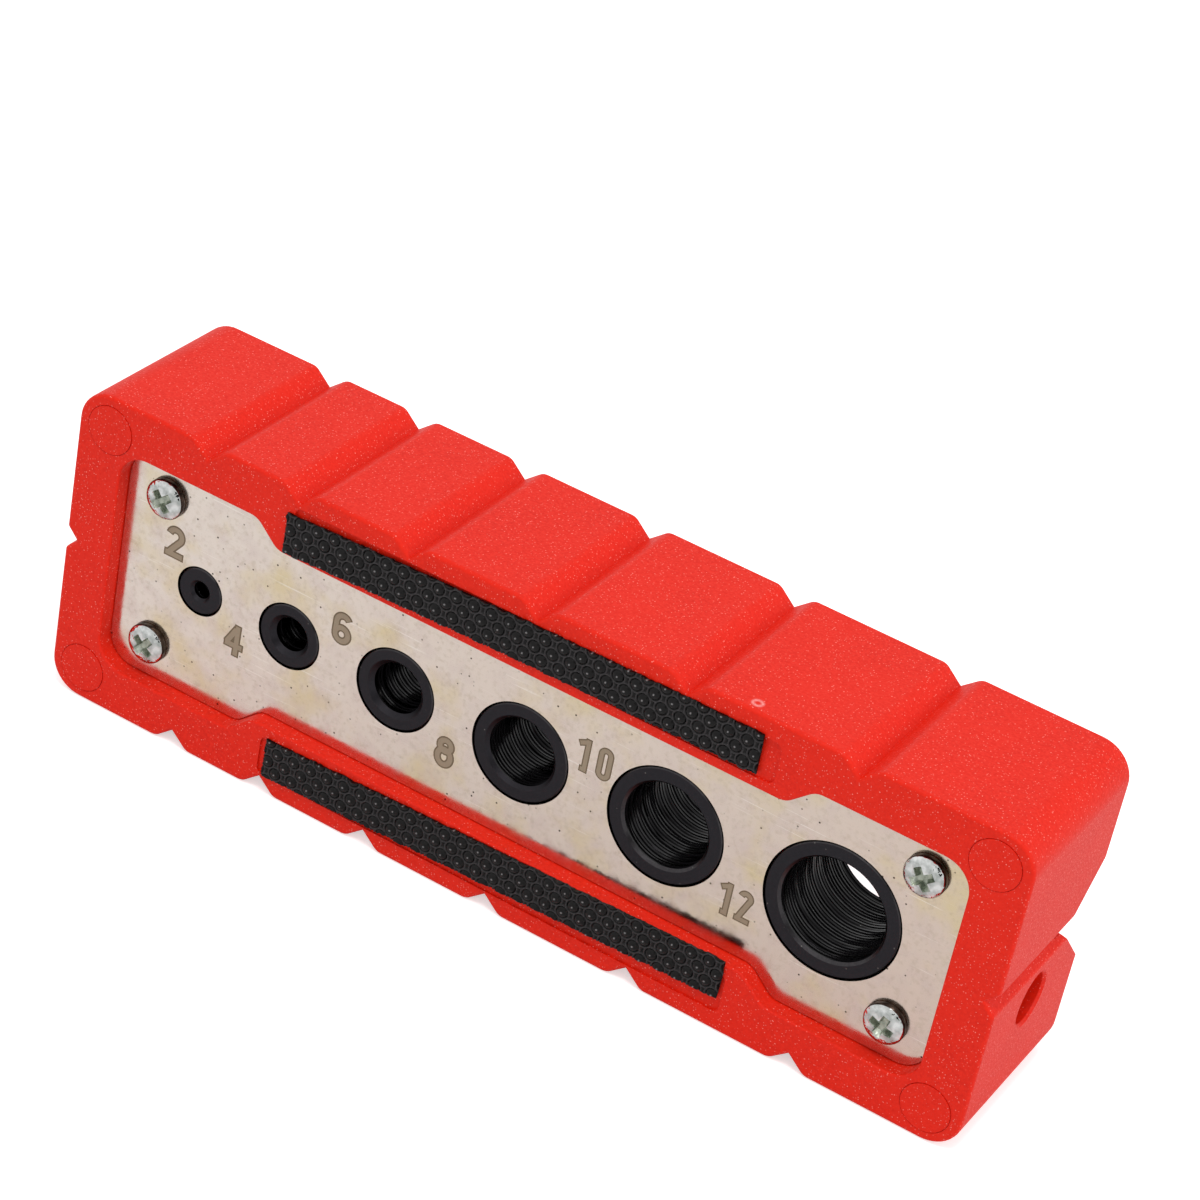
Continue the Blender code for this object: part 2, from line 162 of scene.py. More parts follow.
class GUIDE_PG_bushes(bpy.types.PropertyGroup):
    """Sizes and colours of the drill bushes."""

    chamfer: length("Outer chamfer", "Chamfer round the outside of each bush", 0.12 * MM)
    groove: length("Groove", "Dark groove between each bush and the plate", 0.22 * MM)
    tool_pitch: length("Tool mark pitch", "Distance between the boring tool's rings", 0.5 * MM)
    tool_depth: length("Tool mark depth", "Depth of the boring tool's rings", 0.07 * MM)
    colour: colour("Black oxide colour", "Colour of the black oxide steel", "#2A292C")
    # Painted shade: the bores are coloured darker than the faces, as the shade inside them.
    shaded_bore_colour: colour("Bore colour", "Colour of the bores, blacker with oil", "#121113")
    # Painted highlights and wear: the chamfers are coloured paler where they catch the light and
    # rub.
    rubbed_and_lit_edge_colour: colour("Edge colour", "Colour of the chamfers, rubbed by handling", "#4C4A4C")


class GUIDE_PG_screws(bpy.types.PropertyGroup):
    """Sizes and colours of the plate screws."""

    head_radius: length("Head radius", "Radius of the screws' heads", 2.4 * MM)
    recess_reach: length("Recess reach", "From a head's middle to its cross's ends", 1.75 * MM)
    recess_blade: length("Recess width", "Width of the cross recess's arms", 1.15 * MM)
    recess_depth: length("Recess depth", "Depth of the cross recess", 0.75 * MM)
    colour: colour("Zinc colour", "Colour of the bright zinc plating", "#DFE0DF")
    # Painted shade: the heads' sides are coloured dark where they meet the plate.
    shaded_side_colour: colour("Side colour", "Colour of the heads' grimy sides", "#5A4F48")
    # Painted shade: the recess is coloured darker and greener than the head.
    shaded_recess_colour: colour("Recess colour", "Colour of the zinc with painted shade in the recess", "#C3C8BB")


class GUIDE_PG_strips(bpy.types.PropertyGroup):
    """Sizes and colours of the rubber strips."""

    dome_pitch: length("Dome pitch", "Distance between domes along a row", 2.2 * MM)
    row_pitch: length("Row pitch", "Distance between the rows of domes", 1.28 * MM)
    dome_radius: length("Dome radius", "Radius of a dome", 0.68 * MM)
    dome_height: length("Dome height", "Height of a dome above the web", 0.32 * MM)
    pip_radius: length("Pip radius", "Radius of the small pip on top of each dome", 0.11 * MM)
    pip_height: length("Pip height", "Height of the small pip on top of each dome", 0.06 * MM)
    ring_radius: length("Ring radius", "Radius of the raised ring round each dome", 0.86 * MM)
    ring_half: length("Ring half width", "Half the width of the raised rings", 0.14 * MM)
    ragged: length("Ragged edge", "How far the cut edges wander", 0.16 * MM)
    colour: colour("Rubber colour", "Colour of the rubber", "#0A0808")
    # Painted highlight: the raised rings are coloured lighter where they catch the light.
    lit_ring: colour("Worn rubber colour", "Colour of the rings, dull with dust and wear", "#524E50")
    # Painted glint: the pips are coloured pale where they would catch the light.
    pip_glint: colour("Polished rubber colour", "Colour of the pips, worn to a shine", "#8E8B8C")


class GUIDE_PG_stage(bpy.types.PropertyGroup):
    """The light and the floor."""

    sky: strength("Room light", "Strength of the even light all round", 0.78)
    key: strength("Key light", "Power of the softbox above", 1.9, "POWER")
    fill: strength("Fill light", "Power of the softbox at the right", 1.2, "POWER")
    floor: colour("Floor colour", "Colour of the plain floor", "#EAEAEA")


class GUIDE_PG_settings(bpy.types.PropertyGroup):
    """Everything that a user would change on the drill guide."""

    block: group(GUIDE_PG_block, "Block", "The moulded block")
    plate: group(GUIDE_PG_plate, "Plate", "The face plate and its numbers")
    bushes: group(GUIDE_PG_bushes, "Bushes", "The six drill bushes")
    screws: group(GUIDE_PG_screws, "Screws", "The four plate screws")
    strips: group(GUIDE_PG_strips, "Strips", "The two rubber strips")
    stage: group(GUIDE_PG_stage, "Stage", "The floor and the lights")


def wrapped(angle):
    """Brings an angle to between minus and plus half a turn."""
    return (angle + math.pi) % (2 * math.pi) - math.pi


def bearing(start, end):
    """The heading of the line from one point to another."""
    return math.atan2(end[1] - start[1], end[0] - start[0])


def moved_corners(corners, distance):
    """Moves each side of a counter-clockwise outline outwards and gives its new corners."""
    moved = []
    for index, here in enumerate(corners):
        heading = bearing(corners[index - 1], here)
        half_turn = wrapped(bearing(here, corners[(index + 1) % len(corners)]) - heading) / 2
        reach = distance / math.cos(half_turn)
        outwards = heading + half_turn - math.pi / 2
        moved.append((here[0] + reach * math.cos(outwards), here[1] + reach * math.sin(outwards)))
    return moved


def rounded_outline(corners, distance, centre):
    """Rounds a counter-clockwise outline of (a, b, radius) corners, moved outwards."""
    points = []
    moved = moved_corners(corners, distance)
    for index, here in enumerate(moved):
        radius = corners[index][2]
        if radius == 0:
            points.append(here)
            continue
        heading = bearing(moved[index - 1], here)
        turn = wrapped(bearing(here, moved[(index + 1) % len(moved)]) - heading)
        side = math.copysign(1.0, turn)
        radius += side * distance
        setback = radius * math.tan(abs(turn) / 2)
        hub_a = here[0] - setback * math.cos(heading) - side * radius * math.sin(heading)
        hub_b = here[1] - setback * math.sin(heading) + side * radius * math.cos(heading)
        steps = max(3, round(abs(turn) / ARC_STEP))
        for step in range(steps + 1):
            angle = heading + turn * step / steps
            a = hub_a + side * radius * math.sin(angle)
            points.append((a, hub_b - side * radius * math.cos(angle)))
    return [(a + centre[0], b + centre[1]) for a, b in points]


def box_outline(size_a, size_b, corner, centre):
    """A rectangle with rounded corners."""
    signs = ((-1, -1), (1, -1), (1, 1), (-1, 1))
    corners = [(a * size_a / 2, b * size_b / 2, corner) for a, b in signs]
    return rounded_outline(corners, 0.0, centre)


def circle(radius, steps, centre):
    angles = [2 * math.pi * step / steps for step in range(steps)]
    return [(centre[0] + radius * math.cos(t), centre[1] + radius * math.sin(t)) for t in angles]


def link_piece(name, mesh, materials=()):
    """Puts a mesh into the scene as a named object."""
    for material in materials:
        mesh.materials.append(material)
    piece = bpy.data.objects.new(name, mesh)
    bpy.context.scene.collection.objects.link(piece)
    return piece


def finish_mesh(bm, name, angle=SHARP_ANGLE):
    """Turns a bmesh into a mesh, shaded smooth except at its sharp edges."""
    bmesh.ops.recalc_face_normals(bm, faces=bm.faces)
    mesh = bpy.data.meshes.new(name)
    bm.to_mesh(mesh)
    bm.free()
    mesh.shade_smooth()
    mesh.set_sharp_from_angle(angle=angle)
    return mesh


def loft(rings, along="Y"):
    """Skins closed rings of (a, b) points, each at its place along an axis, and caps both ends."""
    bm = bmesh.new()
    loops = []
    for place, points in rings:
        spots = [(a, place, b) if along == "Y" else (place, a, b) for a, b in points]
        loops.append([bm.verts.new(spot) for spot in spots])
    for near, far in zip(loops, loops[1:]):
        for index in range(len(near)):
            after = (index + 1) % len(near)
            bm.faces.new((near[index], near[after], far[after], far[index]))
    bm.faces.new(loops[0])
    bm.faces.new(loops[-1])
    return bm


def turned(profile, steps, closed=False):
    """Turns a profile of (radius, y) points once round the Y axis."""
    bm = bmesh.new()
    verts = [bm.verts.new((radius, y, 0.0)) for radius, y in profile]
    edges = [bm.edges.new(pair) for pair in zip(verts, verts[1:])]
    if closed:
        edges.append(bm.edges.new((verts[-1], verts[0])))
    bmesh.ops.spin(
        bm, geom=verts + edges, cent=(0, 0, 0), axis=(0, 1, 0), angle=2 * math.pi, steps=steps,
        use_merge=True,
    )
    bmesh.ops.remove_doubles(bm, verts=bm.verts, dist=1e-8)
    return bm


def cutter(rings, along="Y"):
    """A loft that is only used to cut or to join."""
    return link_piece("cutter", finish_mesh(loft(rings, along), "cutter"))


def rod(x, z, radius, y_from, y_to, steps=96):
    outline = circle(radius, steps, (x, z))
    return cutter([(y_from, outline), (y_to, outline)])


def combine(name, base, tools, operation, materials=()):
    """Cuts tools from a base piece, or joins them to it.

    A second material goes on the faces that the tools leave.
    """
    for part in (base, *tools):
        for material in materials:
            part.data.materials.append(material)
    tool_set = bpy.data.collections.new(name)
    bpy.context.scene.collection.children.link(tool_set)
    for tool in tools:
        if len(materials) > 1:
            tool.data.polygons.foreach_set("material_index", [1] * len(tool.data.polygons))
        bpy.context.scene.collection.objects.unlink(tool)
        tool_set.objects.link(tool)
    boolean = base.modifiers.new("combine", "BOOLEAN")
    boolean.operation = operation
    boolean.operand_type = "COLLECTION"
    boolean.collection = tool_set
    boolean.solver = "EXACT"
    bpy.context.view_layer.update()
    evaluated = base.evaluated_get(bpy.context.evaluated_depsgraph_get())
    mesh = bpy.data.meshes.new_from_object(evaluated)
    for old in (*tools, base):
        bpy.data.objects.remove(old, do_unlink=True)
    bpy.data.collections.remove(tool_set)
    if len(mesh.polygons) == 0:
        raise RuntimeError(f"{name} came out empty")
    mesh.name = name
    mesh.shade_smooth()
    mesh.set_sharp_from_angle(angle=SHARP_ANGLE)
    piece = link_piece(name, mesh)
    weighted = piece.modifiers.new("flat faces stay flat", "WEIGHTED_NORMAL")
    weighted.keep_sharp = True
    weighted.weight = 100
    return piece


def settle(piece, slot, *nodes):
    """Hangs a piece on the guide and hides the CAD nodes that it stands for. The slot is not used.
    """
    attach(piece, "root")
    if nodes:
        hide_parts(*nodes)


def feed(node, inputs):
    """Gives a node's inputs, by key or in their own order, a value each or a link.

    A node given as a value is linked from its first output in use.
    """
    for key, value in inputs.items() if isinstance(inputs, dict) else enumerate(inputs):
        if isinstance(value, bpy.types.Node):
            value = next(output for output in value.outputs if output.enabled)
        if isinstance(value, bpy.types.NodeSocket):
            node.id_data.links.new(value, node.inputs[key])
        else:
            node.inputs[key].default_value = value


def add_node(tree, kind, inputs=(), **settings):
    """Adds a shader node, sets its properties and feeds its inputs."""
    node = tree.nodes.new("ShaderNode" + kind)
    for name, value in settings.items():
        setattr(node, name, value)
    feed(node, inputs)
    return node


def new_material(name):
    """A new material with a Principled shader, and the object's own coordinates in metres."""
    material = bpy.data.materials.new(name)
    material.use_nodes = True
    tree = material.node_tree
    place = add_node(tree, "TexCoord").outputs["Object"]
    return material, tree, tree.nodes["Principled BSDF"], place


# Sockets of a Mix node that mixes colours. A Map Range node's are its value, the low and high
# ends of what comes in, and those of what goes out.
MIX_FACTOR = 0
MIX_A = 6
MIX_B = 7


def tinted(tree, under, pattern, low, high, amount, tint):
    """Tints a colour where a pattern is over low, by the whole amount where it is over high."""
    share = add_node(tree, "MapRange", (pattern, low, high, 0.0, amount))
    mix = {MIX_FACTOR: share, MIX_A: under, MIX_B: tint}
    return add_node(tree, "Mix", mix, data_type="RGBA")


def speckled(tree, under, place, cell_size, radii, chances, amount, tint):
    """Scatters soft specks over a colour, one at most in each cell.

    The radii, of a speck's full middle and its faded edge, are in parts of the cell. Cells whose
    own number, from 0 to 1, is under the first chance have no speck, and those over the second
    have a full one.
    """
    cell = add_node(tree, "TexVoronoi", {"Vector": place, "Scale": 1 / cell_size})
    pick = add_node(tree, "SeparateColor", (cell.outputs["Color"],))
    near = add_node(tree, "MapRange", (cell, *radii, amount, 0.0))
    chosen = add_node(tree, "MapRange", (pick, *chances, 0.0, 1.0))
    share = add_node(tree, "Math", (near, chosen), operation="MULTIPLY")
    mix = {MIX_FACTOR: share, MIX_A: under, MIX_B: tint}
    return add_node(tree, "Mix", mix, data_type="RGBA")


SCUFF_PLACE = (25.6 * MM, -9.8 * MM, 39.2 * MM)
SCUFF_RADIUS = 0.5 * MM
SCUFF_WIDTH = 0.3 * MM


def moulded_plastic(settings):
    """ABS, moulded in a lightly textured mould: a saturated red, satin, grain with painted glints.
    """
    material, tree, shader, place = new_material("Red ABS, moulded with a fine grain")
    # The mould's texture is some 0.05 mm wide, and is drawn 0.3 mm wide to show.
    grain = add_node(tree, "TexNoise", {"Vector": place, "Scale": 1 / (0.3 * MM), "Detail": 3.0})
    cloud = add_node(tree, "TexNoise", {"Vector": place, "Scale": 1 / (9 * MM), "Detail": 2.0})
    shade = add_node(tree, "MapRange", (grain, 0.3, 0.7, 0.0, 1.3))
    shade = add_node(tree, "Math", (shade, cloud), operation="MULTIPLY")
    mix = {MIX_FACTOR: shade, MIX_A: (*settings.colour, 1.0), MIX_B: rgba("#D51903")}
    paint = add_node(tree, "Mix", mix, data_type="RGBA")
    # Painted glints: pale specks where the grain catches the light, many fine ones and a few larger
    # ones. They too are some 0.05 mm wide, and are drawn 0.08 to 0.09 mm in radius to show.
    painted_glint = rgba("#FFAFA4")
    for cell_size, radius, least in ((0.32, 0.24, 0.25), (0.45, 0.2, 0.3), (0.9, 0.1, 0.45)):
        radii = (radius / 2, radius)
        chances = (least, 1.0)
        paint = speckled(tree, paint, place, cell_size * MM, radii, chances, 0.55, painted_glint)
    # A small ring scuffed pale by something that the block was once set against.
    away = add_node(tree, "VectorMath", (place, SCUFF_PLACE), operation="DISTANCE")
    off_ring = add_node(tree, "Math", (away, SCUFF_RADIUS), operation="SUBTRACT")
    off_ring = add_node(tree, "Math", (off_ring,), operation="ABSOLUTE")
    scuffed = add_node(tree, "MapRange", (off_ring, 0.0, SCUFF_WIDTH, 1.0, 0.0))
    scuffed = add_node(tree, "Math", (scuffed, grain), operation="MULTIPLY")
    mix = {MIX_FACTOR: scuffed, MIX_A: paint, MIX_B: rgba("#FFB8B4")}
    paint = add_node(tree, "Mix", mix, data_type="RGBA")
    rough = add_node(tree, "MapRange", (grain, 0.3, 0.7, 0.42, 0.58))
    bump = add_node(tree, "Bump", {"Height": grain, "Strength": 0.5, "Distance": 0.05 * MM})
    surface = {"Base Color": paint, "Roughness": rough, "Normal": bump, "Specular IOR Level": 0.21}
    feed(shader, surface)
    return material


SCRATCH_TURN = math.radians(-14.0)
SCRATCH_LENGTH = 10.0 * MM
SCRATCH_SPACING = 0.25 * MM


def plated_steel(settings):
    """Mild steel, rolled, nickel plated and handled: a warm grey that mirrors softly.

    Stains tint it, haze dulls it, and dirt and scratches lie on it. Painted shade darkens it
    towards the large bores.
    """
    material, tree, shader, place = new_material("Plated steel, rolled and handled")
    apart = add_node(tree, "SeparateXYZ", (place,))
    # Painted shade: the colour darkens along X towards the large bores.
    near = (*settings.colour, 1.0)
    far = (*settings.shaded_colour_far, 1.0)
    paint = tinted(tree, near, apart, PLATE_LOW.x, PLATE_HIGH.x, 1.0, far)
    stain = add_node(tree, "TexNoise", {"Vector": place, "Scale": 1 / (6 * MM), "Detail": 6.0})
    paint = tinted(tree, paint, stain, 0.48, 0.68, 0.8, rgba("#DCCBA2"))
    haze = add_node(tree, "TexNoise", {"Vector": place, "Scale": 1 / (2.2 * MM), "Detail": 5.0})
    paint = tinted(tree, paint, haze, 0.45, 0.75, 0.4, rgba("#CDBBB8"))
    dirt = rgba("#3E352C")
    paint = speckled(tree, paint, place, 1.0 * MM, (0.08, 0.14), (0.5, 0.75), 1.0, dirt)
    # Light scratches. Real ones are some 0.02 mm wide, and are drawn 0.2 mm wide to show.
    stretch = (1 / SCRATCH_LENGTH, 1.0, 1 / SCRATCH_SPACING)
    laid = {"Vector": place, "Rotation": (0.0, SCRATCH_TURN, 0.0), "Scale": stretch}
    laid = add_node(tree, "Mapping", laid)
    streak = add_node(tree, "TexNoise", {"Vector": laid, "Scale": 1.0, "Detail": 1.0})
    paint = tinted(tree, paint, streak, 0.66, 0.74, 0.5, rgba("#FBF4EC"))
    # The rolled grain is some 0.05 mm wide, and is drawn 0.5 mm wide to show.
    grain = add_node(tree, "TexNoise", {"Vector": place, "Scale": 1 / (0.5 * MM), "Detail": 4.0})
    paint = tinted(tree, paint, grain, 0.5, 0.72, 0.3, rgba("#B4A48C"))
    rough = add_node(tree, "MapRange", (haze, 0.3, 0.7, 0.12, 0.24))
    bump = add_node(tree, "Bump", {"Height": grain, "Strength": 0.35, "Distance": 0.02 * MM})
    feed(shader, {"Base Color": paint, "Roughness": rough, "Normal": bump, "Metallic": 1.0})
    return material


def black_oxide(name, shade, lighter, roughness):
    """Hardened steel, turned, bored and blacked: near black, satin, dusted with pale specks."""
    material, tree, shader, place = new_material(name)
    # The oxide's grain is under 0.05 mm wide, and is drawn 0.3 mm wide to show.
    grain = add_node(tree, "TexNoise", {"Vector": place, "Scale": 1 / (0.3 * MM), "Detail": 3.0})
    mix = {MIX_FACTOR: grain, MIX_A: (*shade, 1.0), MIX_B: rgba(lighter)}
    paint = add_node(tree, "Mix", mix, data_type="RGBA")
    dust = rgba("#8F8D88")
    paint = speckled(tree, paint, place, 1.1 * MM, (0.03, 0.09), (0.6, 0.601), 0.6, dust)
    bump = add_node(tree, "Bump", {"Height": grain, "Strength": 0.25, "Distance": 0.02 * MM})
    feed(shader, {"Base Color": paint, "Roughness": roughness, "Normal": bump, "Metallic": 1.0})
    return material


def bright_zinc(name, shade, lighter, roughness):
    """Steel, cold headed and zinc plated: bright and cool, mirroring what is round it."""
    material, tree, shader, place = new_material(name)
    # The plating's waviness, about a third of a head across.
    waves = add_node(tree, "TexNoise", {"Vector": place, "Scale": 1 / (0.9 * MM), "Detail": 2.0})
    paint = tinted(tree, (*shade, 1.0), waves, 0.35, 0.65, 1.0, rgba(lighter))
    bump = add_node(tree, "Bump", {"Height": waves, "Strength": 0.8, "Distance": 0.25 * MM})
    feed(shader, {"Base Color": paint, "Roughness": roughness, "Normal": bump, "Metallic": 1.0})
    return material


LIT_RINGS = "wear"
PIPS = "pips"


def strip_rubber(settings):
    """Rubber, moulded and cut by hand: black domes, highlights painted on pips and duller rings."""
    material, tree, shader, place = new_material("Black rubber, pressed with domes")
    # The pressed skin's grain is some 0.05 mm wide, and is drawn 0.25 mm wide to show.
    grain = add_node(tree, "TexNoise", {"Vector": place, "Scale": 1 / (0.25 * MM), "Detail": 3.0})
    # Painted highlight: where the raised rings lie, they are coloured lighter and made duller.
    lit_ring = add_node(tree, "Attribute", attribute_name=LIT_RINGS).outputs["Fac"]
    # Painted glint: where the pips lie, they are coloured pale.
    pips = add_node(tree, "Attribute", attribute_name=PIPS).outputs["Fac"]
    paint = (*settings.colour, 1.0)
    lit_ring_grain = add_node(tree, "Math", (lit_ring, grain), operation="MULTIPLY")
    for share, tint in ((lit_ring_grain, settings.lit_ring), (pips, settings.pip_glint)):
        mix = {MIX_FACTOR: share, MIX_A: paint, MIX_B: (*tint, 1.0)}
        paint = add_node(tree, "Mix", mix, data_type="RGBA")
    rough = add_node(tree, "MapRange", (lit_ring, 0.0, 1.0, 0.3, 0.6))
    bump = add_node(tree, "Bump", {"Height": grain, "Strength": 0.3, "Distance": 0.03 * MM})
    surface = {"Base Color": paint, "Roughness": rough, "Normal": bump, "Specular IOR Level": 0.2}
    feed(shader, surface)
    return material


def marked_steel(name, shade):
    """Steel plate, laser marked: a dull brown oxide that takes the shine off the plating."""
    material, tree, shader, place = new_material(name)
    # The laser's lines are some 0.05 mm apart, and are drawn as a 0.2 mm grain to show.
    grain = add_node(tree, "TexNoise", {"Vector": place, "Scale": 1 / (0.2 * MM), "Detail": 3.0})
    rough = add_node(tree, "MapRange", (grain, 0.0, 1.0, 0.45, 0.7))
    feed(shader, {"Base Color": (*shade, 1.0), "Roughness": rough, "Metallic": 0.4})
    return material


# The block's fixed sizes, as in the CAD model.
RIM_END = 6.0 * MM
RIM_SIDE = 5.8 * MM
PLATE_CORNER = 3.4 * MM
WAIST_STEP = 2.75 * MM
WAIST_RUN = 3.0 * MM
WAIST_BEND = 2.2 * MM
WAIST_HALF = 31.45 * MM
BED_LENGTH = 59.7 * MM
BED_WIDTH = 5.0 * MM
BED_HEIGHT = 14.8 * MM
BED_DEPTH = 0.25 * MM
BED_CORNER = 0.9 * MM
V_MOUTH_EDGE = 0.3 * MM
V_MOUTH_SPREAD = math.tan(math.radians(67.5))
V_RELIEF_WIDTH = 1.5 * MM
V_RELIEF_DEPTH = 0.6 * MM
HOLLOW_LEDGE = 1.2 * MM
HOLLOW_WALL = 4.6 * MM
HOLLOW_CORNER = 1.4 * MM
HOLLOW_DRAFT = math.radians(1.0)
BUSH_STAND = 1.0 * MM
END_HOLE_RADIUS = 3.0 * MM
END_HOLE_WALL = 2.3 * MM
END_HOLE_DROP = 5.6 * MM
END_HOLE_SETBACK = 11.15 * MM
END_HOLE_EDGE = 0.3 * MM
END_HOLE_STEPS = 64

# The marks that the ejector pins left, which only the looks have.
EJECTOR_RADIUS = 2.85 * MM
EJECTOR_HEIGHT = 0.06 * MM
EJECTOR_LINE = 0.09 * MM
EJECTOR_LINE_DEPTH = 0.15 * MM
EJECTOR_INSET_X = 4.2 * MM
EJECTOR_INSET_Z = 4.0 * MM
EJECTOR_STEPS = 96


def quarter_steps(radius):
    """Gives (distance in from the outline, depth from the face) round an edge, face first."""
    for step in range(EDGE_STEPS + 1):
        angle = math.pi / 2 * step / EDGE_STEPS
        yield radius * (1 - math.sin(angle)), radius * (1 - math.cos(angle))


def block_outline(settings, distance):
    """The block's front view: rounded, with a sighting groove at each bush and notched ends."""
    half = settings.groove_half
    shoulder = settings.groove_shoulder
    groove = [(-half, 0.0, shoulder), (0.0, settings.groove_depth, 0.0), (half, 0.0, shoulder)]
    half = settings.notch_depth
    shoulder = settings.notch_shoulder
    notch = [(-half, 0.0, shoulder), (0.0, half, 0.0), (half, 0.0, shoulder)]
    corners = []
    # The lower side and the right end, then the upper side and the left end.
    for way in (1, -1):
        corners.append((-way * HALF_LENGTH, -way * HALF_HEIGHT, settings.corner))
        for x in list(BUSH_X.values())[::way]:
            for along, deep, radius in groove:
                corners.append((x + way * along, way * (deep - HALF_HEIGHT), radius))
        corners.append((way * HALF_LENGTH, -way * HALF_HEIGHT, settings.corner))
        for along, deep, radius in notch:
            corners.append((way * (HALF_LENGTH - deep), way * along, radius))
    return rounded_outline(corners, distance, (0.0, Z_MID))


def waisted_outline(distance=0.0):
    """The plate's bed in front view: a rounded rectangle that narrows between the strips."""
    end = HALF_LENGTH - RIM_END
    wide = HALF_HEIGHT - RIM_SIDE
    narrow = wide - WAIST_STEP
    waist_end = WAIST_HALF + WAIST_RUN
    right = [
        (WAIST_HALF, -narrow, WAIST_BEND),
        (waist_end, -wide, WAIST_BEND),
        (end, -wide, PLATE_CORNER),
        (end, wide, PLATE_CORNER),
        (waist_end, wide, WAIST_BEND),
        (WAIST_HALF, narrow, WAIST_BEND),
    ]
    left = [(-x, -z, radius) for x, z, radius in right]
    return rounded_outline(right + left, distance, (0.0, Z_MID))


def plate_bed(settings):
    rings = [(Y_RIM - OVERRUN, waisted_outline(settings.bed_edge))]
    for outset, depth in quarter_steps(settings.bed_edge):
        rings.append((Y_RIM + depth, waisted_outline(outset)))
    rings.append((Y_PLATE_BACK + SEAT, waisted_outline()))
    return cutter(rings)


def hollow(x, bush_radius):
    """The moulded hollow behind one bush, drawn in towards its floor."""
    floor_y = Y_BUSH_END - BUSH_STAND
    drawn_in = 2 * (Y_BACK + OVERRUN - floor_y) * math.tan(HOLLOW_DRAFT)
    width = 2 * (bush_radius + HOLLOW_LEDGE)
    height = 2 * (HALF_HEIGHT - HOLLOW_WALL)
    mouth = box_outline(width, height, HOLLOW_CORNER, (x, Z_MID))
    floor = box_outline(width - drawn_in, height - drawn_in, HOLLOW_CORNER, (x, Z_MID))
    return cutter([(floor_y, floor), (Y_BACK + OVERRUN, mouth)])


def v_groove(settings):
    """The square V along the back, with a relief slot at its root and a broken edge each side."""
    half_slot = V_RELIEF_WIDTH / 2
    half_mouth = settings.v_mouth / 2 - V_MOUTH_EDGE
    apex = Y_BACK - settings.v_mouth / 2
    upper = [
        (Y_BACK + OVERRUN, half_mouth + (V_MOUTH_EDGE + OVERRUN) * V_MOUTH_SPREAD),
        (Y_BACK - V_MOUTH_EDGE, half_mouth),
        (apex + half_slot, half_slot),
        (apex - V_RELIEF_DEPTH, half_slot),
    ]
    section = [(y, Z_MID + z) for y, z in upper]
    section += [(y, Z_MID - z) for y, z in reversed(upper)]
    return cutter([(BLOCK_LOW.x - OVERRUN, section), (BLOCK_HIGH.x + OVERRUN, section)], "X")


def end_hole():
    """The blind hole in the right end, with its lead-in."""
    centre = (Y_RIM + END_HOLE_SETBACK, Z_MID - END_HOLE_DROP)
    floor = BUSH_X[12] + BUSH_RADIUS[12] + HOLLOW_LEDGE + END_HOLE_WALL
    end = BLOCK_HIGH.x
    rings = [
        (x, circle(END_HOLE_RADIUS + wider, END_HOLE_STEPS, centre))
        for x, wider in (
            (floor, 0.0), (end - END_HOLE_EDGE, 0.0), (end + OVERRUN, END_HOLE_EDGE + OVERRUN)
        )
    ]
    return cutter(rings, "X")


def witness_line(x, z):
    """The fine ring round the mark that an ejector pin left."""
    inner = EJECTOR_RADIUS
    outer = EJECTOR_RADIUS + EJECTOR_LINE
    near = Y_RIM - OVERRUN
    far = Y_RIM + EJECTOR_LINE_DEPTH
    profile = [(inner, near), (outer, near), (outer, far), (inner, far)]
    ring = turned(profile, EJECTOR_STEPS, closed=True)
    line = link_piece("cutter", finish_mesh(ring, "cutter"))
    line.location = (x, 0.0, z)
    return line


class GUIDE_OT_block(bpy.types.Operator):
    """Make the moulded block with its rounded edges, grooves, beds, hollows and witness marks"""

    bl_idname = "guide.block"
    bl_label = "Block"

    def execute(self, context):
        settings = context.scene.drill_guide.block
        steps = quarter_steps(settings.edge)
        edge = [(depth, block_outline(settings, -inset)) for inset, depth in steps]
        rings = [(Y_RIM + depth, outline) for depth, outline in edge]
        rings += [(Y_BACK - depth, outline) for depth, outline in reversed(edge)]
        tools = [plate_bed(settings), v_groove(settings), end_hole()]
        pads = []
        # A pad is made too wide and its ring line trims it, so that no two walls lie together.
        pad_radius = EJECTOR_RADIUS + EJECTOR_LINE / 2
        for bore in BORES:
            tools.append(rod(BUSH_X[bore], Z_MID, BUSH_RADIUS[bore] + SEAT, Y_PLATE, Y_BACK))
            tools.append(hollow(BUSH_X[bore], BUSH_RADIUS[bore]))
        for side in (-1, 1):
            middle = (0.0, Z_MID + side * BED_HEIGHT)
            outline = box_outline(BED_LENGTH, BED_WIDTH, BED_CORNER, middle)
            tools.append(cutter([(Y_RIM - OVERRUN, outline), (Y_RIM + BED_DEPTH, outline)]))
            for x in (BLOCK_LOW.x + EJECTOR_INSET_X, BLOCK_HIGH.x - EJECTOR_INSET_X):
                z = Z_MID + side * (HALF_HEIGHT - EJECTOR_INSET_Z)
                pads.append(rod(x, z, pad_radius, Y_RIM - EJECTOR_HEIGHT, Y_RIM + OVERRUN))
                tools.append(witness_line(x, z))
        base = combine("block_base", cutter(rings), pads, "UNION")
        base.modifiers.clear()
        plastic = moulded_plastic(settings)
        block = combine("moulded_block", base, tools, "DIFFERENCE", [plastic])
        settle(block, "red_plastic", "block")
        return {"FINISHED"}


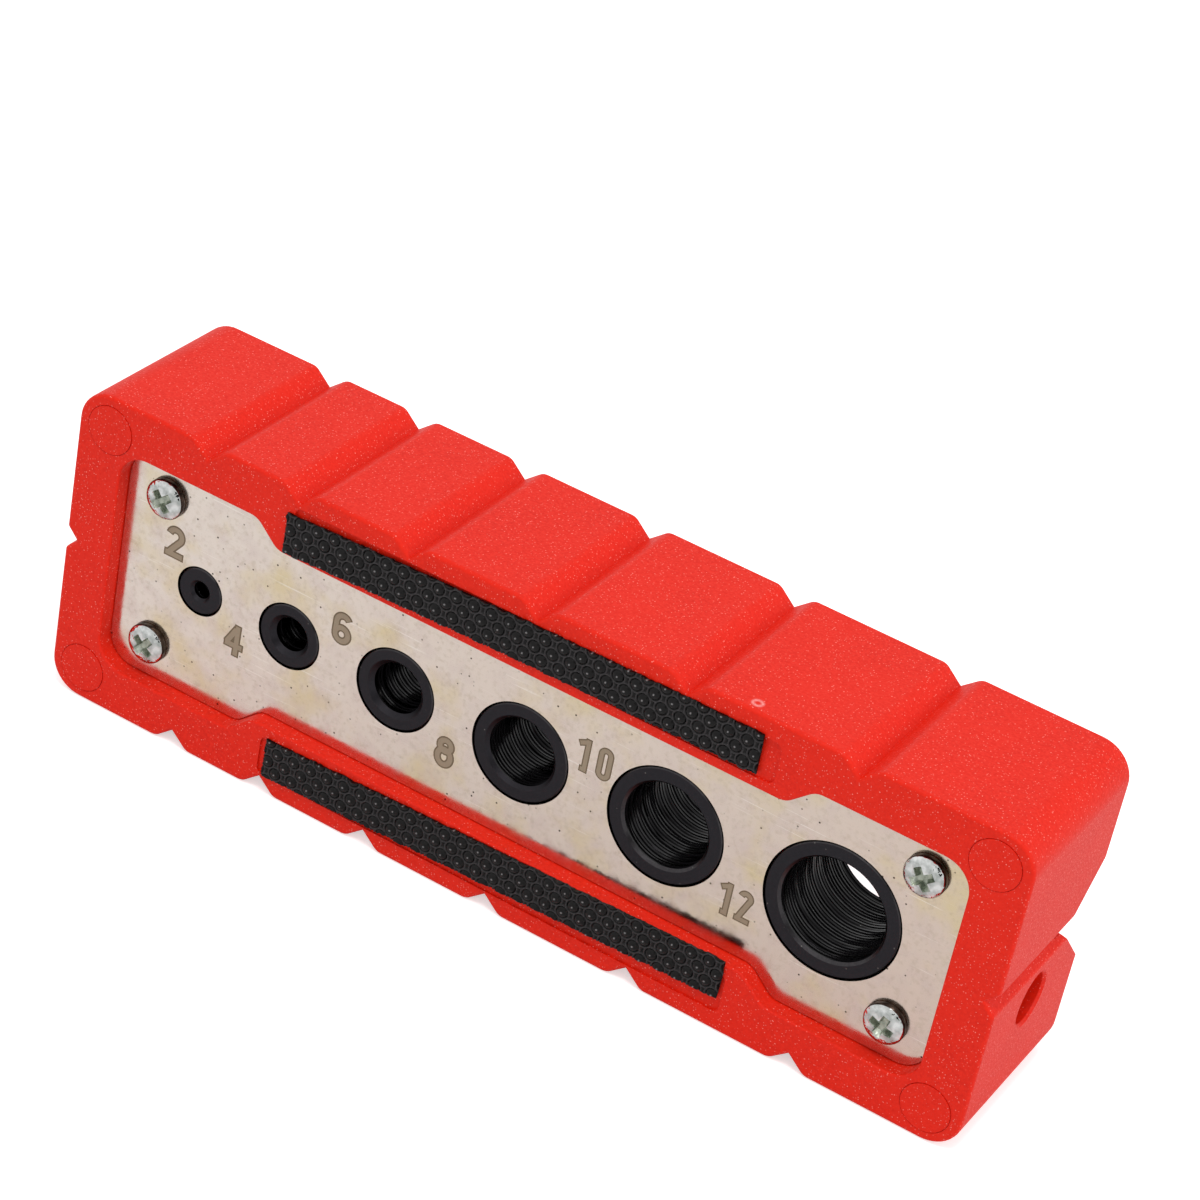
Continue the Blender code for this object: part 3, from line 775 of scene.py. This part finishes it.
class GUIDE_OT_plate(bpy.types.Operator):
    """Make the plated face plate with its rounded edge and its holes"""

    bl_idname = "guide.plate"
    bl_label = "Face plate"

    def execute(self, context):
        settings = context.scene.drill_guide.plate
        rings = []
        for inset, depth in quarter_steps(settings.edge):
            rings.append((Y_PLATE + depth, waisted_outline(-settings.gap - inset)))
        rings.append((Y_PLATE_BACK, waisted_outline(-settings.gap)))
        span = (Y_PLATE - OVERRUN, Y_PLATE_BACK + OVERRUN)
        tools = [rod(BUSH_X[bore], Z_MID, BUSH_RADIUS[bore], *span) for bore in BORES]
        for x, z in SCREW_SPOTS.values():
            tools.append(rod(x, z, SHANK_RADIUS + SEAT, *span, SCREW_HOLE_STEPS))
        steel = plated_steel(settings)
        plate = combine("plated_face", cutter(rings), tools, "DIFFERENCE", [steel])
        settle(plate, "plated_steel", "face_plate")
        return {"FINISHED"}


BUSH_STEPS = 128
BUSH_SHARP_ANGLE = math.radians(35.0)
BORE_CHAMFERS = {bore: size * MM for bore, size in zip(BORES, (0.35, 0.55, 0.55, 0.4, 0.3, 0.3))}
# The bushes' finishes, in the order of their materials, and the first bore with a rubbed lead-in
# that has painted highlights.
FACE, BORED, RUBBED_AND_LIT = 0, 1, 2
RUBBED_AND_LIT_FROM = 10
# The boring tool's rings: their depth at most in parts of the bore's radius, how uneven it is, its
# least share and the step between samples of the noise, then how far each ring wanders and how
# often, round and along the bore.
RING_SHARE = 0.05
RING_UNEVEN = 1.8
RING_LEAST = 0.2
RING_SAMPLE = 1.37
RING_WANDER = 1.3
WANDER_ROUND = 3.0
WANDER_ALONG = 1.3 / MM


def bush_profile(settings, bore, outer):
    """The section of one bush, with the uneven rings that the boring tool left."""
    inner = bore * MM / 2
    chamfer = BORE_CHAMFERS[bore]
    profile = [
        (outer - settings.chamfer, Y_PLATE),
        (outer, Y_PLATE + settings.chamfer),
        (outer, Y_BUSH_END - settings.chamfer),
        (outer - settings.chamfer, Y_BUSH_END),
        (inner + chamfer, Y_BUSH_END),
    ]
    near = Y_PLATE + chamfer
    far = Y_BUSH_END - chamfer
    rings = max(1, round((far - near) / settings.tool_pitch))
    pitch = (far - near) / rings
    for ring in reversed(range(rings)):
        uneven = noise.noise(Vector((ring * RING_SAMPLE, bore, 0.5)))
        depth = min(settings.tool_depth, inner * RING_SHARE)
        depth *= max(RING_LEAST, 1.0 + RING_UNEVEN * uneven)
        start = near + ring * pitch
        # Each ring is a step up, a ridge and a slope back, at these shares of the pitch.
        profile.append((inner, start + (0.96 + 0.25 * uneven) * pitch))
        profile.append((inner + depth, start + (0.8 + 0.3 * uneven) * pitch))
        profile.append((inner + depth * 0.7, start + (0.5 + 0.25 * uneven) * pitch))
    profile.append((inner, near))
    profile.append((inner + chamfer, Y_PLATE))
    return profile


class GUIDE_OT_bushes(bpy.types.Operator):
    """Make the six drill bushes with chamfers and tool marks in their bores"""

    bl_idname = "guide.bushes"
    bl_label = "Drill bushes"

    def execute(self, context):
        settings = context.scene.drill_guide.bushes
        finishes = [
            black_oxide(f"Black oxide steel, {made}", shade, lighter, roughness)
            for made, shade, lighter, roughness in (
                ("turned", settings.colour, "#333135", 0.38),
                ("bored, with painted shade", settings.shaded_bore_colour, "#070607", 0.24),
                ("rubbed at the edges", settings.rubbed_and_lit_edge_colour, "#323032", 0.3),
            )
        ]
        for bore in BORES:
            name = f"turned_bush_{bore}"
            inner = bore * MM / 2
            outer = BUSH_RADIUS[bore] - settings.groove
            bm = turned(bush_profile(settings, bore, outer), BUSH_STEPS, closed=True)
            self.wander(bm, bore, inner + 2 * settings.tool_depth, settings.tool_depth)
            for face in bm.faces:
                middle = face.calc_center_median()
                off_axis = math.hypot(middle.x, middle.z)
                if middle.y <= Y_PLATE:
                    continue
                # Painted highlights: the chamfers take the paler rubbed finish, which is also the
                # wear of handling.
                if off_axis > outer - settings.chamfer:
                    face.material_index = RUBBED_AND_LIT
                elif middle.y < Y_PLATE + BORE_CHAMFERS[bore] and off_axis > inner:
                    face.material_index = RUBBED_AND_LIT if bore >= RUBBED_AND_LIT_FROM else FACE
                # Painted shade: the bore walls take the darker bored finish.
                elif off_axis < inner + 2 * settings.tool_depth:
                    face.material_index = BORED
            bush = link_piece(name, finish_mesh(bm, name, BUSH_SHARP_ANGLE), finishes)
            bush.location = (BUSH_X[bore], 0.0, Z_MID)
            settle(bush, "black_oxide_steel", f"bush_{bore}")
        return {"FINISHED"}

    def wander(self, bm, bore, reach, depth):
        """Moves the bore's wall outwards unevenly, so that the rings aren't true circles."""
        for vert in bm.verts:
            radius = math.hypot(vert.co.x, vert.co.z)
            if radius < reach and Y_PLATE + MM < vert.co.y < Y_BUSH_END - MM:
                angle = math.atan2(vert.co.z, vert.co.x)
                around = (WANDER_ROUND * math.cos(angle), WANDER_ROUND * math.sin(angle))
                sample = Vector((around[0] + bore, around[1], vert.co.y * WANDER_ALONG))
                out = depth * RING_WANDER * (0.5 + 0.5 * noise.noise(sample))
                vert.co.x *= (radius + out) / radius
                vert.co.z *= (radius + out) / radius


SCREW_STEPS = 96
SCREW_HOLE_STEPS = 48
SCREW_TURNS = {"upper_left": 50.0, "upper_right": 54.0, "lower_left": 39.0, "lower_right": 17.0}
HEAD_SIDE = 0.5 * MM
HEAD_CROWN = 0.85 * MM
HEAD_EDGE = 0.1 * MM
HEAD_STEPS = 12
HEAD_GAP = 0.02 * MM
SHANK_RADIUS = 1.3 * MM
SHANK_LENGTH = 9.0 * MM
RECESS_TAPER = 0.5
SIDE_SHARE = 0.975
# The screws' third finish, after the head's own and the recess's: painted shade on the heads'
# sides.
SHADED_SIDE = 2


def cross(reach, half_blade):
    """The outline of a cross recess."""
    quarter = [(reach, -half_blade), (reach, half_blade), (half_blade, half_blade)]
    points = []
    for turn in range(4):
        for a, b in quarter:
            for _ in range(turn):
                a, b = -b, a
            points.append((a, b))
    return points


def screw_profile(settings):
    """The section of a pan head screw with a plain shank, its head lifted clear of the plate."""
    under = Y_PLATE - SEAT
    radius = settings.head_radius
    profile = []
    for step in range(HEAD_STEPS + 1):
        angle = math.pi / 2 * step / HEAD_STEPS
        y = under - HEAD_SIDE - HEAD_CROWN * math.cos(angle)
        profile.append((radius * math.sin(angle), y))
    return profile + [
        (radius, under - HEAD_EDGE),
        (radius - HEAD_EDGE, under),
        (SHANK_RADIUS, under),
        (SHANK_RADIUS, under + SHANK_LENGTH - SHANK_RADIUS),
        (0.0, under + SHANK_LENGTH),
    ]


class GUIDE_OT_screws(bpy.types.Operator):
    """Make the four plate screws with their cross recesses"""

    bl_idname = "guide.screws"
    bl_label = "Plate screws"

    def execute(self, context):
        settings = context.scene.drill_guide.screws
        finishes = [
            bright_zinc(f"Zinc plated steel, {made}", shade, lighter, roughness)
            for made, shade, lighter, roughness in (
                ("cold headed", settings.colour, "#A6AAA7", 0.09),
                ("with painted shade in the recess", settings.shaded_recess_colour, "#8B9385", 0.42),
                ("with painted shade at the side", settings.shaded_side_colour, "#2C2420", 0.35),
            )
        ]
        top = Y_PLATE - SEAT - HEAD_SIDE - HEAD_CROWN
        reach = settings.recess_reach
        half = settings.recess_blade / 2
        mouth = (top - OVERRUN / 4, cross(reach, half))
        floor = (top + settings.recess_depth, cross(reach * RECESS_TAPER, half * RECESS_TAPER))
        for name, (x, z) in SCREW_SPOTS.items():
            bm = turned(screw_profile(settings), SCREW_STEPS)
            # Painted shade: the head's side takes the dark third finish.
            for face in bm.faces:
                middle = face.calc_center_median()
                if math.hypot(middle.x, middle.z) > settings.head_radius * SIDE_SHARE:
                    face.material_index = SHADED_SIDE
            head = link_piece("head", finish_mesh(bm, "head"))
            # Painted shade: the recess's faces take the darker second finish.
            recess = cutter([mouth, floor])
            screw = combine(f"cross_screw_{name}", head, [recess], "DIFFERENCE", finishes)
            screw.location = (x, SEAT - HEAD_GAP, z)
            screw.rotation_euler = (0.0, math.radians(SCREW_TURNS[name]), 0.0)
            settle(screw, "bright_zinc_steel", f"screw_{name}")
        return {"FINISHED"}


STRIP_LENGTH = 58.4 * MM
STRIP_WIDTH = 4.8 * MM
STRIP_CELL = 0.08 * MM
STRIP_SHARP_ANGLE = math.radians(70.0)
SCALLOP = 0.16 * MM
RING_HEIGHT = 0.6
# The wander's slow and quick waves: (waves per metre, size, which noise).
WANDER_WAVES = ((0.6 / MM, 1.0, 0.0), (2.3 / MM, 0.6, 3.0))
# Where a cut edge's wander starts, from the strip's middle: a half is the edge itself.
SIDE_START = 0.4
END_START = 0.49
END_RAGGED = 1.5
# Middle of each strip (x, z), its slope and its bow in 1/m, and the domes' own turn, as cut and
# stuck down by hand.
STRIP_LAY = {
    "upper": ((-1.4 * MM, 34.50 * MM), 0.0218, -0.333, -0.015),
    "lower": ((0.2 * MM, 5.80 * MM), 0.0314, 0.0, 0.01),
}


def strip_relief(along, across, settings):
    """The height of the rubber's pattern, and how far each place is on a ring and on a pip.

    Domes stand in a lattice, each with a pip on top and a raised ring round it.
    """
    pitch = settings.dome_pitch
    away = np.full(along.shape, 1.0)
    row_at = np.round(across / settings.row_pitch)
    for row in (row_at - 1, row_at, row_at + 1):
        shift = np.where(row % 2 == 0, 0.0, pitch / 2)
        column_at = np.round((along - shift) / pitch)
        for column in (column_at - 1, column_at, column_at + 1):
            aside = along - shift - column * pitch
            away = np.minimum(away, np.hypot(aside, across - row * settings.row_pitch))
    dome, pip = (
        getattr(settings, f"{part}_height")
        * np.sqrt(np.clip(1 - (away / getattr(settings, f"{part}_radius")) ** 2, 0.0, 1.0))
        for part in ("dome", "pip")
    )
    ring = np.clip(1 - np.abs(away - settings.ring_radius) / settings.ring_half, 0.0, 1.0)
    raised = RING_HEIGHT * settings.dome_height * np.sqrt(ring)
    return np.maximum(dome + pip, raised), ring, pip / settings.pip_height


def wander_line(places, seed, size):
    """A smooth uneven line: one offset for each place along a cut edge."""
    offsets = []
    for place in places:
        waves = (
            share * noise.noise(Vector((place * often, seed, which)))
            for often, share, which in WANDER_WAVES
        )
        offsets.append(size * sum(waves))
    return np.array(offsets)


def near_edge(share, start):
    """0 from the strip's middle to the start, then up to 1 at the edge, where the share is 0.5."""
    return np.clip((share - start) / (0.5 - start), 0, 1)


def rubber_strip(name, settings, material, seed):
    """One strip: a fine grid with the pattern's height over its face, closed round its back."""
    middle, slope, bow, dome_turn = STRIP_LAY[name]
    count_u = round(STRIP_LENGTH / STRIP_CELL) + 1
    count_v = round(STRIP_WIDTH / STRIP_CELL) + 1
    u = np.linspace(-STRIP_LENGTH / 2, STRIP_LENGTH / 2, count_u)
    v = np.linspace(-STRIP_WIDTH / 2, STRIP_WIDTH / 2, count_v)
    along, across = np.meshgrid(u, v, indexing="ij")
    upper, lower = (wander_line(u, seed + step, settings.ragged) for step in (1.0, 2.0))
    lower -= SCALLOP * np.abs(np.sin(np.pi * u / settings.dome_pitch))
    ragged = END_RAGGED * settings.ragged
    right, left = (wander_line(v, seed + step, ragged) for step in (3.0, 4.0))
    end_share = along / STRIP_LENGTH
    side_share = across / STRIP_WIDTH
    along = along + right * near_edge(end_share, END_START)
    along = along + left * near_edge(-end_share, END_START)
    across = across + upper[:, None] * near_edge(side_share, SIDE_START)
    across = across + lower[:, None] * near_edge(-side_share, SIDE_START)
    turned_u = along * math.cos(dome_turn) + across * math.sin(dome_turn)
    turned_v = across * math.cos(dome_turn) - along * math.sin(dome_turn)
    height, rings, pips = strip_relief(turned_u, turned_v, settings)
    low, high = STRIP_BOXES[name]
    x = middle[0] + along
    z = middle[1] + across + slope * x + bow * x * x
    y = low.y + settings.dome_height + settings.pip_height - height
    points = [np.stack([x, y, z], axis=-1).reshape(-1, 3)]
    for edge in (0, -1):
        back = np.full(count_u, high.y)
        points.append(np.stack([x[:, edge], back, z[:, edge]], axis=-1))
    tops = np.arange(count_u * count_v).reshape(count_u, count_v)
    feet = tops.size + np.arange(count_u)
    loops = np.column_stack([tops, feet + count_u, feet])
    after = np.roll(loops, -1, axis=1)
    faces = np.stack([loops[:-1], loops[1:], after[1:], after[:-1]], axis=-1).reshape(-1, 4)
    mesh = bpy.data.meshes.new(f"domed_strip_{name}")
    ends = [loops[0].tolist(), loops[-1, ::-1].tolist()]
    mesh.from_pydata(np.vstack(points).tolist(), [], faces.tolist() + ends)
    # The rings' and pips' shares, which place the painted highlights on them.
    for attribute, values in ((LIT_RINGS, rings), (PIPS, pips)):
        layer = mesh.attributes.new(attribute, "FLOAT", "POINT")
        padded = np.concatenate([values.ravel(), np.zeros(2 * count_u)])
        layer.data.foreach_set("value", padded.astype(np.float32))
    mesh.shade_smooth()
    mesh.set_sharp_from_angle(angle=STRIP_SHARP_ANGLE)
    mesh.validate()
    return link_piece(f"domed_strip_{name}", mesh, [material])


class GUIDE_OT_strips(bpy.types.Operator):
    """Make the two rubber strips with their domes and hand-cut edges"""

    bl_idname = "guide.strips"
    bl_label = "Rubber strips"

    def execute(self, context):
        settings = context.scene.drill_guide.strips
        material = strip_rubber(settings)
        for number, name in enumerate(STRIP_LAY):
            strip = rubber_strip(name, settings, material, 10.0 * number)
            settle(strip, "black_rubber", f"{name}_strip")
        return {"FINISHED"}


# Each marked digit: middle x, middle height, width.
MARKS = (
    ("2", -45.5 * MM, 24.1 * MM, 2.6 * MM),
    ("4", -36.3 * MM, 15.75 * MM, 2.6 * MM),
    ("6", -23.1 * MM, 23.8 * MM, 2.6 * MM),
    ("8", -8.3 * MM, 15.1 * MM, 2.6 * MM),
    ("1", 7.75 * MM, 23.3 * MM, 1.5 * MM),
    ("0", 10.35 * MM, 23.3 * MM, 1.9 * MM),
    ("1", 26.85 * MM, 14.9 * MM, 1.4 * MM),
    ("2", 29.15 * MM, 14.9 * MM, 1.9 * MM),
)
NARROW = 2.0 * MM
NARROW_STROKE = 0.82
MARK_RISE = 0.012 * MM
MARK_INNER_RISE = 0.020 * MM
MARK_SUNK = 0.02 * MM
# Strokes that cross differ this much in height, so that no two faces lie in one plane.
MARK_STAGGER = 0.0003 * MM
INNER_SHARE = 0.62
SHARPEST_BEND = 0.35
MOST_SHRUNK = 0.9


def arc(centre, radius_a, radius_b, start, end, steps=20):
    """Points along an ellipse's arc, angles in degrees from the right, anticlockwise positive."""
    points = []
    for step in range(steps + 1):
        angle = math.radians(start + (end - start) * step / steps)
        a = centre[0] + radius_a * math.cos(angle)
        points.append((a, centre[1] + radius_b * math.sin(angle)))
    return points


def digit_strokes(digit, width, height, stroke):
    """Centre lines of a digit's strokes as (points, closed), about the digit's middle.

    The bare numbers are the digits' proportions, and angles in degrees.
    """
    half_w = width / 2
    half_h = height / 2
    a = half_w - stroke / 2
    b = half_h - stroke / 2
    if digit == "0":
        return [(arc((0, b - a), a, a, 0, 180) + arc((0, a - b), a, a, 180, 360), True)]
    if digit == "1":
        foot = stroke * 0.3 - half_h
        return [
            ([(a, -half_h), (a, half_h)], False),
            ([(a, half_h - stroke * 0.5), (-half_w, half_h - stroke * 1.2)], False),
            ([(a - stroke * 0.8, foot), (half_w, foot)], False),
        ]
    if digit == "2":
        bowl = arc((0, b - a), a, a, 172, -38)
        return [(bowl + [(-a * 0.92, -b)], False), ([(-half_w, -b), (half_w, -b)], False)]
    if digit == "4":
        x = 0.42 * a
        bar = -0.42 * b
        return [
            ([(x, half_h), (x, -half_h)], False),
            ([(x - stroke * 0.1, half_h - stroke * 0.45), (stroke * 0.35 - half_w, bar)], False),
            ([(-half_w, bar), (half_w, bar)], False),
        ]
    if digit == "6":
        bowl = arc((0, a - b), a, a, 0, 360)[:-1]
        back = arc((0, b - a), a, a, 28, 180) + [(-a, a - b)]
        return [(bowl, True), (back, False)]
    small = 0.85 * a
    upper = arc((0, b - small), small, small, 0, 360)[:-1]
    middle = (0, small - stroke * 0.1 - (small + b) / 2)
    lower = arc(middle, a, (2 * b - 1.7 * a + stroke * 0.2) / 2, 0, 360)[:-1]
    return [(upper, True), (lower, True)]


def shrunk_ends(points, margin):
    """Moves both ends of an open line inwards by a margin."""
    ends = []
    for tip, inner in ((points[0], points[1]), (points[-1], points[-2])):
        share = min(MOST_SHRUNK, margin / math.dist(tip, inner))
        ends.append([t + (i - t) * share for t, i in zip(tip, inner)])
    return [ends[0], *points[1:-1], ends[1]]


def stroke_solid(points, closed, width, centre, near, far):
    """A flat bar of one width that follows a centre line, standing from near to far along Y."""
    count = len(points)
    leaving = [bearing(here, after) for here, after in zip(points, points[1:] + points[:1])]
    if not closed:
        leaving[-1] = leaving[-2]
    sides = []
    for index in range(count):
        arriving = leaving[index - 1] if closed or index else leaving[0]
        bend = wrapped(leaving[index] - arriving) / 2
        normal = arriving + bend + math.pi / 2
        reach = width / 2 / max(SHARPEST_BEND, math.cos(bend))
        sides.append((reach * math.cos(normal), reach * math.sin(normal)))
    bm = bmesh.new()
    near_left, near_right, far_left, far_right = (
        [
            bm.verts.new((centre[0] + a + way * out_a, y, centre[1] + b + way * out_b))
            for (a, b), (out_a, out_b) in zip(points, sides)
        ]
        for y in (near, far)
        for way in (1, -1)
    )
    front_and_back = ((near_left, near_right), (far_left, far_right))
    walls = ((near_left, far_left), (near_right, far_right))
    for index in range(count if closed else count - 1):
        after = (index + 1) % count
        for one, other in front_and_back + walls:
            bm.faces.new((one[index], one[after], other[after], other[index]))
    if not closed:
        for index in (0, -1):
            end = (near_left[index], near_right[index], far_right[index], far_left[index])
            bm.faces.new(end)
    return link_piece("stroke", finish_mesh(bm, "stroke"))


class GUIDE_OT_numbers(bpy.types.Operator):
    """Mark the bore numbers on the face plate"""

    bl_idname = "guide.numbers"
    bl_label = "Bore numbers"

    def execute(self, context):
        settings = context.scene.drill_guide.plate
        for name, made, shade, share, rise in (
            ("number_edges", "edge", settings.mark_edge, 1.0, MARK_RISE),
            ("number_middles", "middle", settings.mark, INNER_SHARE, MARK_INNER_RISE),
        ):
            solids = []
            for digit, x, z, width in MARKS:
                stroke = settings.number_stroke * (NARROW_STROKE if width < NARROW else 1.0)
                for points, closed in digit_strokes(digit, width, settings.number_height, stroke):
                    if not closed:
                        points = shrunk_ends(points, stroke * (1 - share) / 2)
                    near = Y_PLATE - rise - MARK_STAGGER * (len(solids) % 4)
                    span = (near, Y_PLATE + MARK_SUNK)
                    solids.append(stroke_solid(points, closed, stroke * share, (x, z), *span))
            finish = marked_steel(f"Laser mark on plated steel, {made}", shade)
            piece = combine(name, solids[0], solids[1:], "UNION", [finish])
            settle(piece, "plated_steel")
        return {"FINISHED"}


# The camera, as worked out from the bores' and the block's outlines in the picture.
CAMERA_PLACE = (140.04 * MM, -294.65 * MM, 239.90 * MM)
CAMERA_TURN = (math.radians(57.303), math.radians(-9.926), math.radians(31.474))
CAMERA_LENS = 110.2
CAMERA_SENSOR = 36.0
CAMERA_NEAREST = 0.01
CAMERA_FURTHEST = 10.0
# The softboxes: name, place and width. Each one faces the guide.
SOFTBOXES = (("key_softbox", (0.10, -0.25, 0.80), 0.22), ("fill_softbox", (0.8, -0.1, 0.35), 0.3))
SOFTBOX_TARGET = (0.0, 0.0, 0.02)
FLOOR_SIZE = 4.0
FLOOR_DROP = 0.02 * MM
FLOOR_GLOW = 0.55
FLAG_PLACE = (0.36, -0.46, 0.26)
FLAG_WIDTH = 0.34
FLAG_HEIGHT = 0.26


def white_floor(settings):
    """Board, painted matt: white under the object's shadow, with a glow for the camera alone."""
    material, tree, shader, _ = new_material("White board, painted matt")
    tree.nodes.remove(shader)
    seen = add_node(tree, "LightPath").outputs["Is Camera Ray"]
    glow = add_node(tree, "Math", (seen, FLOOR_GLOW), operation="MULTIPLY")
    board = add_node(tree, "BsdfDiffuse", {"Color": (*settings.floor, 1.0)})
    light = add_node(tree, "Emission", {"Color": (1, 1, 1, 1), "Strength": glow})
    both = add_node(tree, "AddShader", (board, light))
    feed(tree.nodes["Material Output"], {"Surface": both})
    return material


def sheet(name, size, material):
    """A flat square for the stage."""
    bm = bmesh.new()
    bmesh.ops.create_grid(bm, x_segments=1, y_segments=1, size=size / 2)
    mesh = bpy.data.meshes.new(name)
    bm.to_mesh(mesh)
    bm.free()
    return link_piece(name, mesh, [material])


class GUIDE_OT_stage(bpy.types.Operator):
    """Set up the plain floor, the soft light and the camera"""

    bl_idname = "guide.stage"
    bl_label = "Stage"

    def execute(self, context):
        scene = context.scene
        settings = scene.drill_guide.stage
        floor = sheet("floor", FLOOR_SIZE, white_floor(settings))
        floor.location.z = -FLOOR_DROP
        self.flag()
        self.light(settings)
        scene.view_settings.view_transform = "Standard"
        camera_data = bpy.data.cameras.new("photo_camera")
        camera_data.lens = CAMERA_LENS
        camera_data.sensor_width = CAMERA_SENSOR
        camera_data.clip_start = CAMERA_NEAREST
        camera_data.clip_end = CAMERA_FURTHEST
        camera = bpy.data.objects.new("photo_camera", camera_data)
        camera.location = CAMERA_PLACE
        camera.rotation_euler = CAMERA_TURN
        scene.collection.objects.link(camera)
        scene.camera = camera
        return {"FINISHED"}

    def light(self, settings):
        """An even room, white to the camera and to what mirrors it, and two softboxes."""
        scene = bpy.context.scene
        scene.world = bpy.data.worlds.new("Studio room")
        scene.world.use_nodes = True
        tree = scene.world.node_tree
        rays = add_node(tree, "LightPath").outputs
        seen = (rays["Is Camera Ray"], rays["Is Glossy Ray"])
        seen = add_node(tree, "Math", seen, operation="MAXIMUM")
        level = add_node(tree, "MapRange", (seen, 0.0, 1.0, settings.sky, 1.0))
        feed(tree.nodes["Background"], {"Color": (1.0, 1.0, 1.0, 1.0), "Strength": level})
        for (name, place, width), power in zip(SOFTBOXES, (settings.key, settings.fill)):
            lamp = bpy.data.lights.new(name, "AREA")
            lamp.shape = "DISK"
            lamp.size = width
            lamp.energy = power
            box = bpy.data.objects.new(name, lamp)
            box.location = place
            aim = Vector(SOFTBOX_TARGET) - Vector(place)
            box.rotation_euler = aim.to_track_quat("-Z", "Y").to_euler()
            scene.collection.objects.link(box)

    def flag(self):
        """A black card beside the camera, seen only in reflections, for dark edges in the metal."""
        material, _, shader, _ = new_material("Black card, matt")
        feed(shader, {"Base Color": rgba("#141414"), "Roughness": 0.9})
        card = sheet("flag", 1.0, material)
        card.location = FLAG_PLACE
        card.scale = (FLAG_WIDTH, FLAG_HEIGHT, 1.0)
        card.rotation_euler = Vector(FLAG_PLACE).to_track_quat("Z", "Y").to_euler()
        card.visible_camera = False
        card.visible_diffuse = False
        card.visible_shadow = False


OPERATORS = (
    GUIDE_OT_block, GUIDE_OT_plate, GUIDE_OT_bushes, GUIDE_OT_screws, GUIDE_OT_strips,
    GUIDE_OT_numbers, GUIDE_OT_stage,
)


class GUIDE_PT_panel(bpy.types.Panel):
    """Lists the drill guide's pieces and their sizes"""

    bl_idname = "GUIDE_PT_panel"
    bl_label = "Drill Guide"
    bl_space_type = "VIEW_3D"
    bl_region_type = "UI"
    bl_category = "Drill Guide"

    def draw(self, context):
        settings = context.scene.drill_guide
        for operator in OPERATORS:
            self.layout.operator(operator.bl_idname)
        for group_name in ("block", "plate", "bushes", "screws", "strips", "stage"):
            box = self.layout.box()
            sizes = getattr(settings, group_name)
            for key in sizes.bl_rna.properties.keys():
                if key not in ("rna_type", "name"):
                    box.prop(sizes, key)


CLASSES = (
    GUIDE_PG_block, GUIDE_PG_plate, GUIDE_PG_bushes, GUIDE_PG_screws, GUIDE_PG_strips,
    GUIDE_PG_stage, GUIDE_PG_settings, *OPERATORS, GUIDE_PT_panel,
)


def register():
    for item in CLASSES:
        bpy.utils.register_class(item)
    bpy.types.Scene.drill_guide = bpy.props.PointerProperty(type=GUIDE_PG_settings)


def unregister():
    del bpy.types.Scene.drill_guide
    for item in reversed(CLASSES):
        bpy.utils.unregister_class(item)


def main():
    register()
    bpy.ops.guide.block()
    bpy.ops.guide.plate()
    bpy.ops.guide.bushes()
    bpy.ops.guide.screws()
    bpy.ops.guide.strips()
    bpy.ops.guide.numbers()
    bpy.ops.guide.stage()


if __name__ == "__main__":
    main()
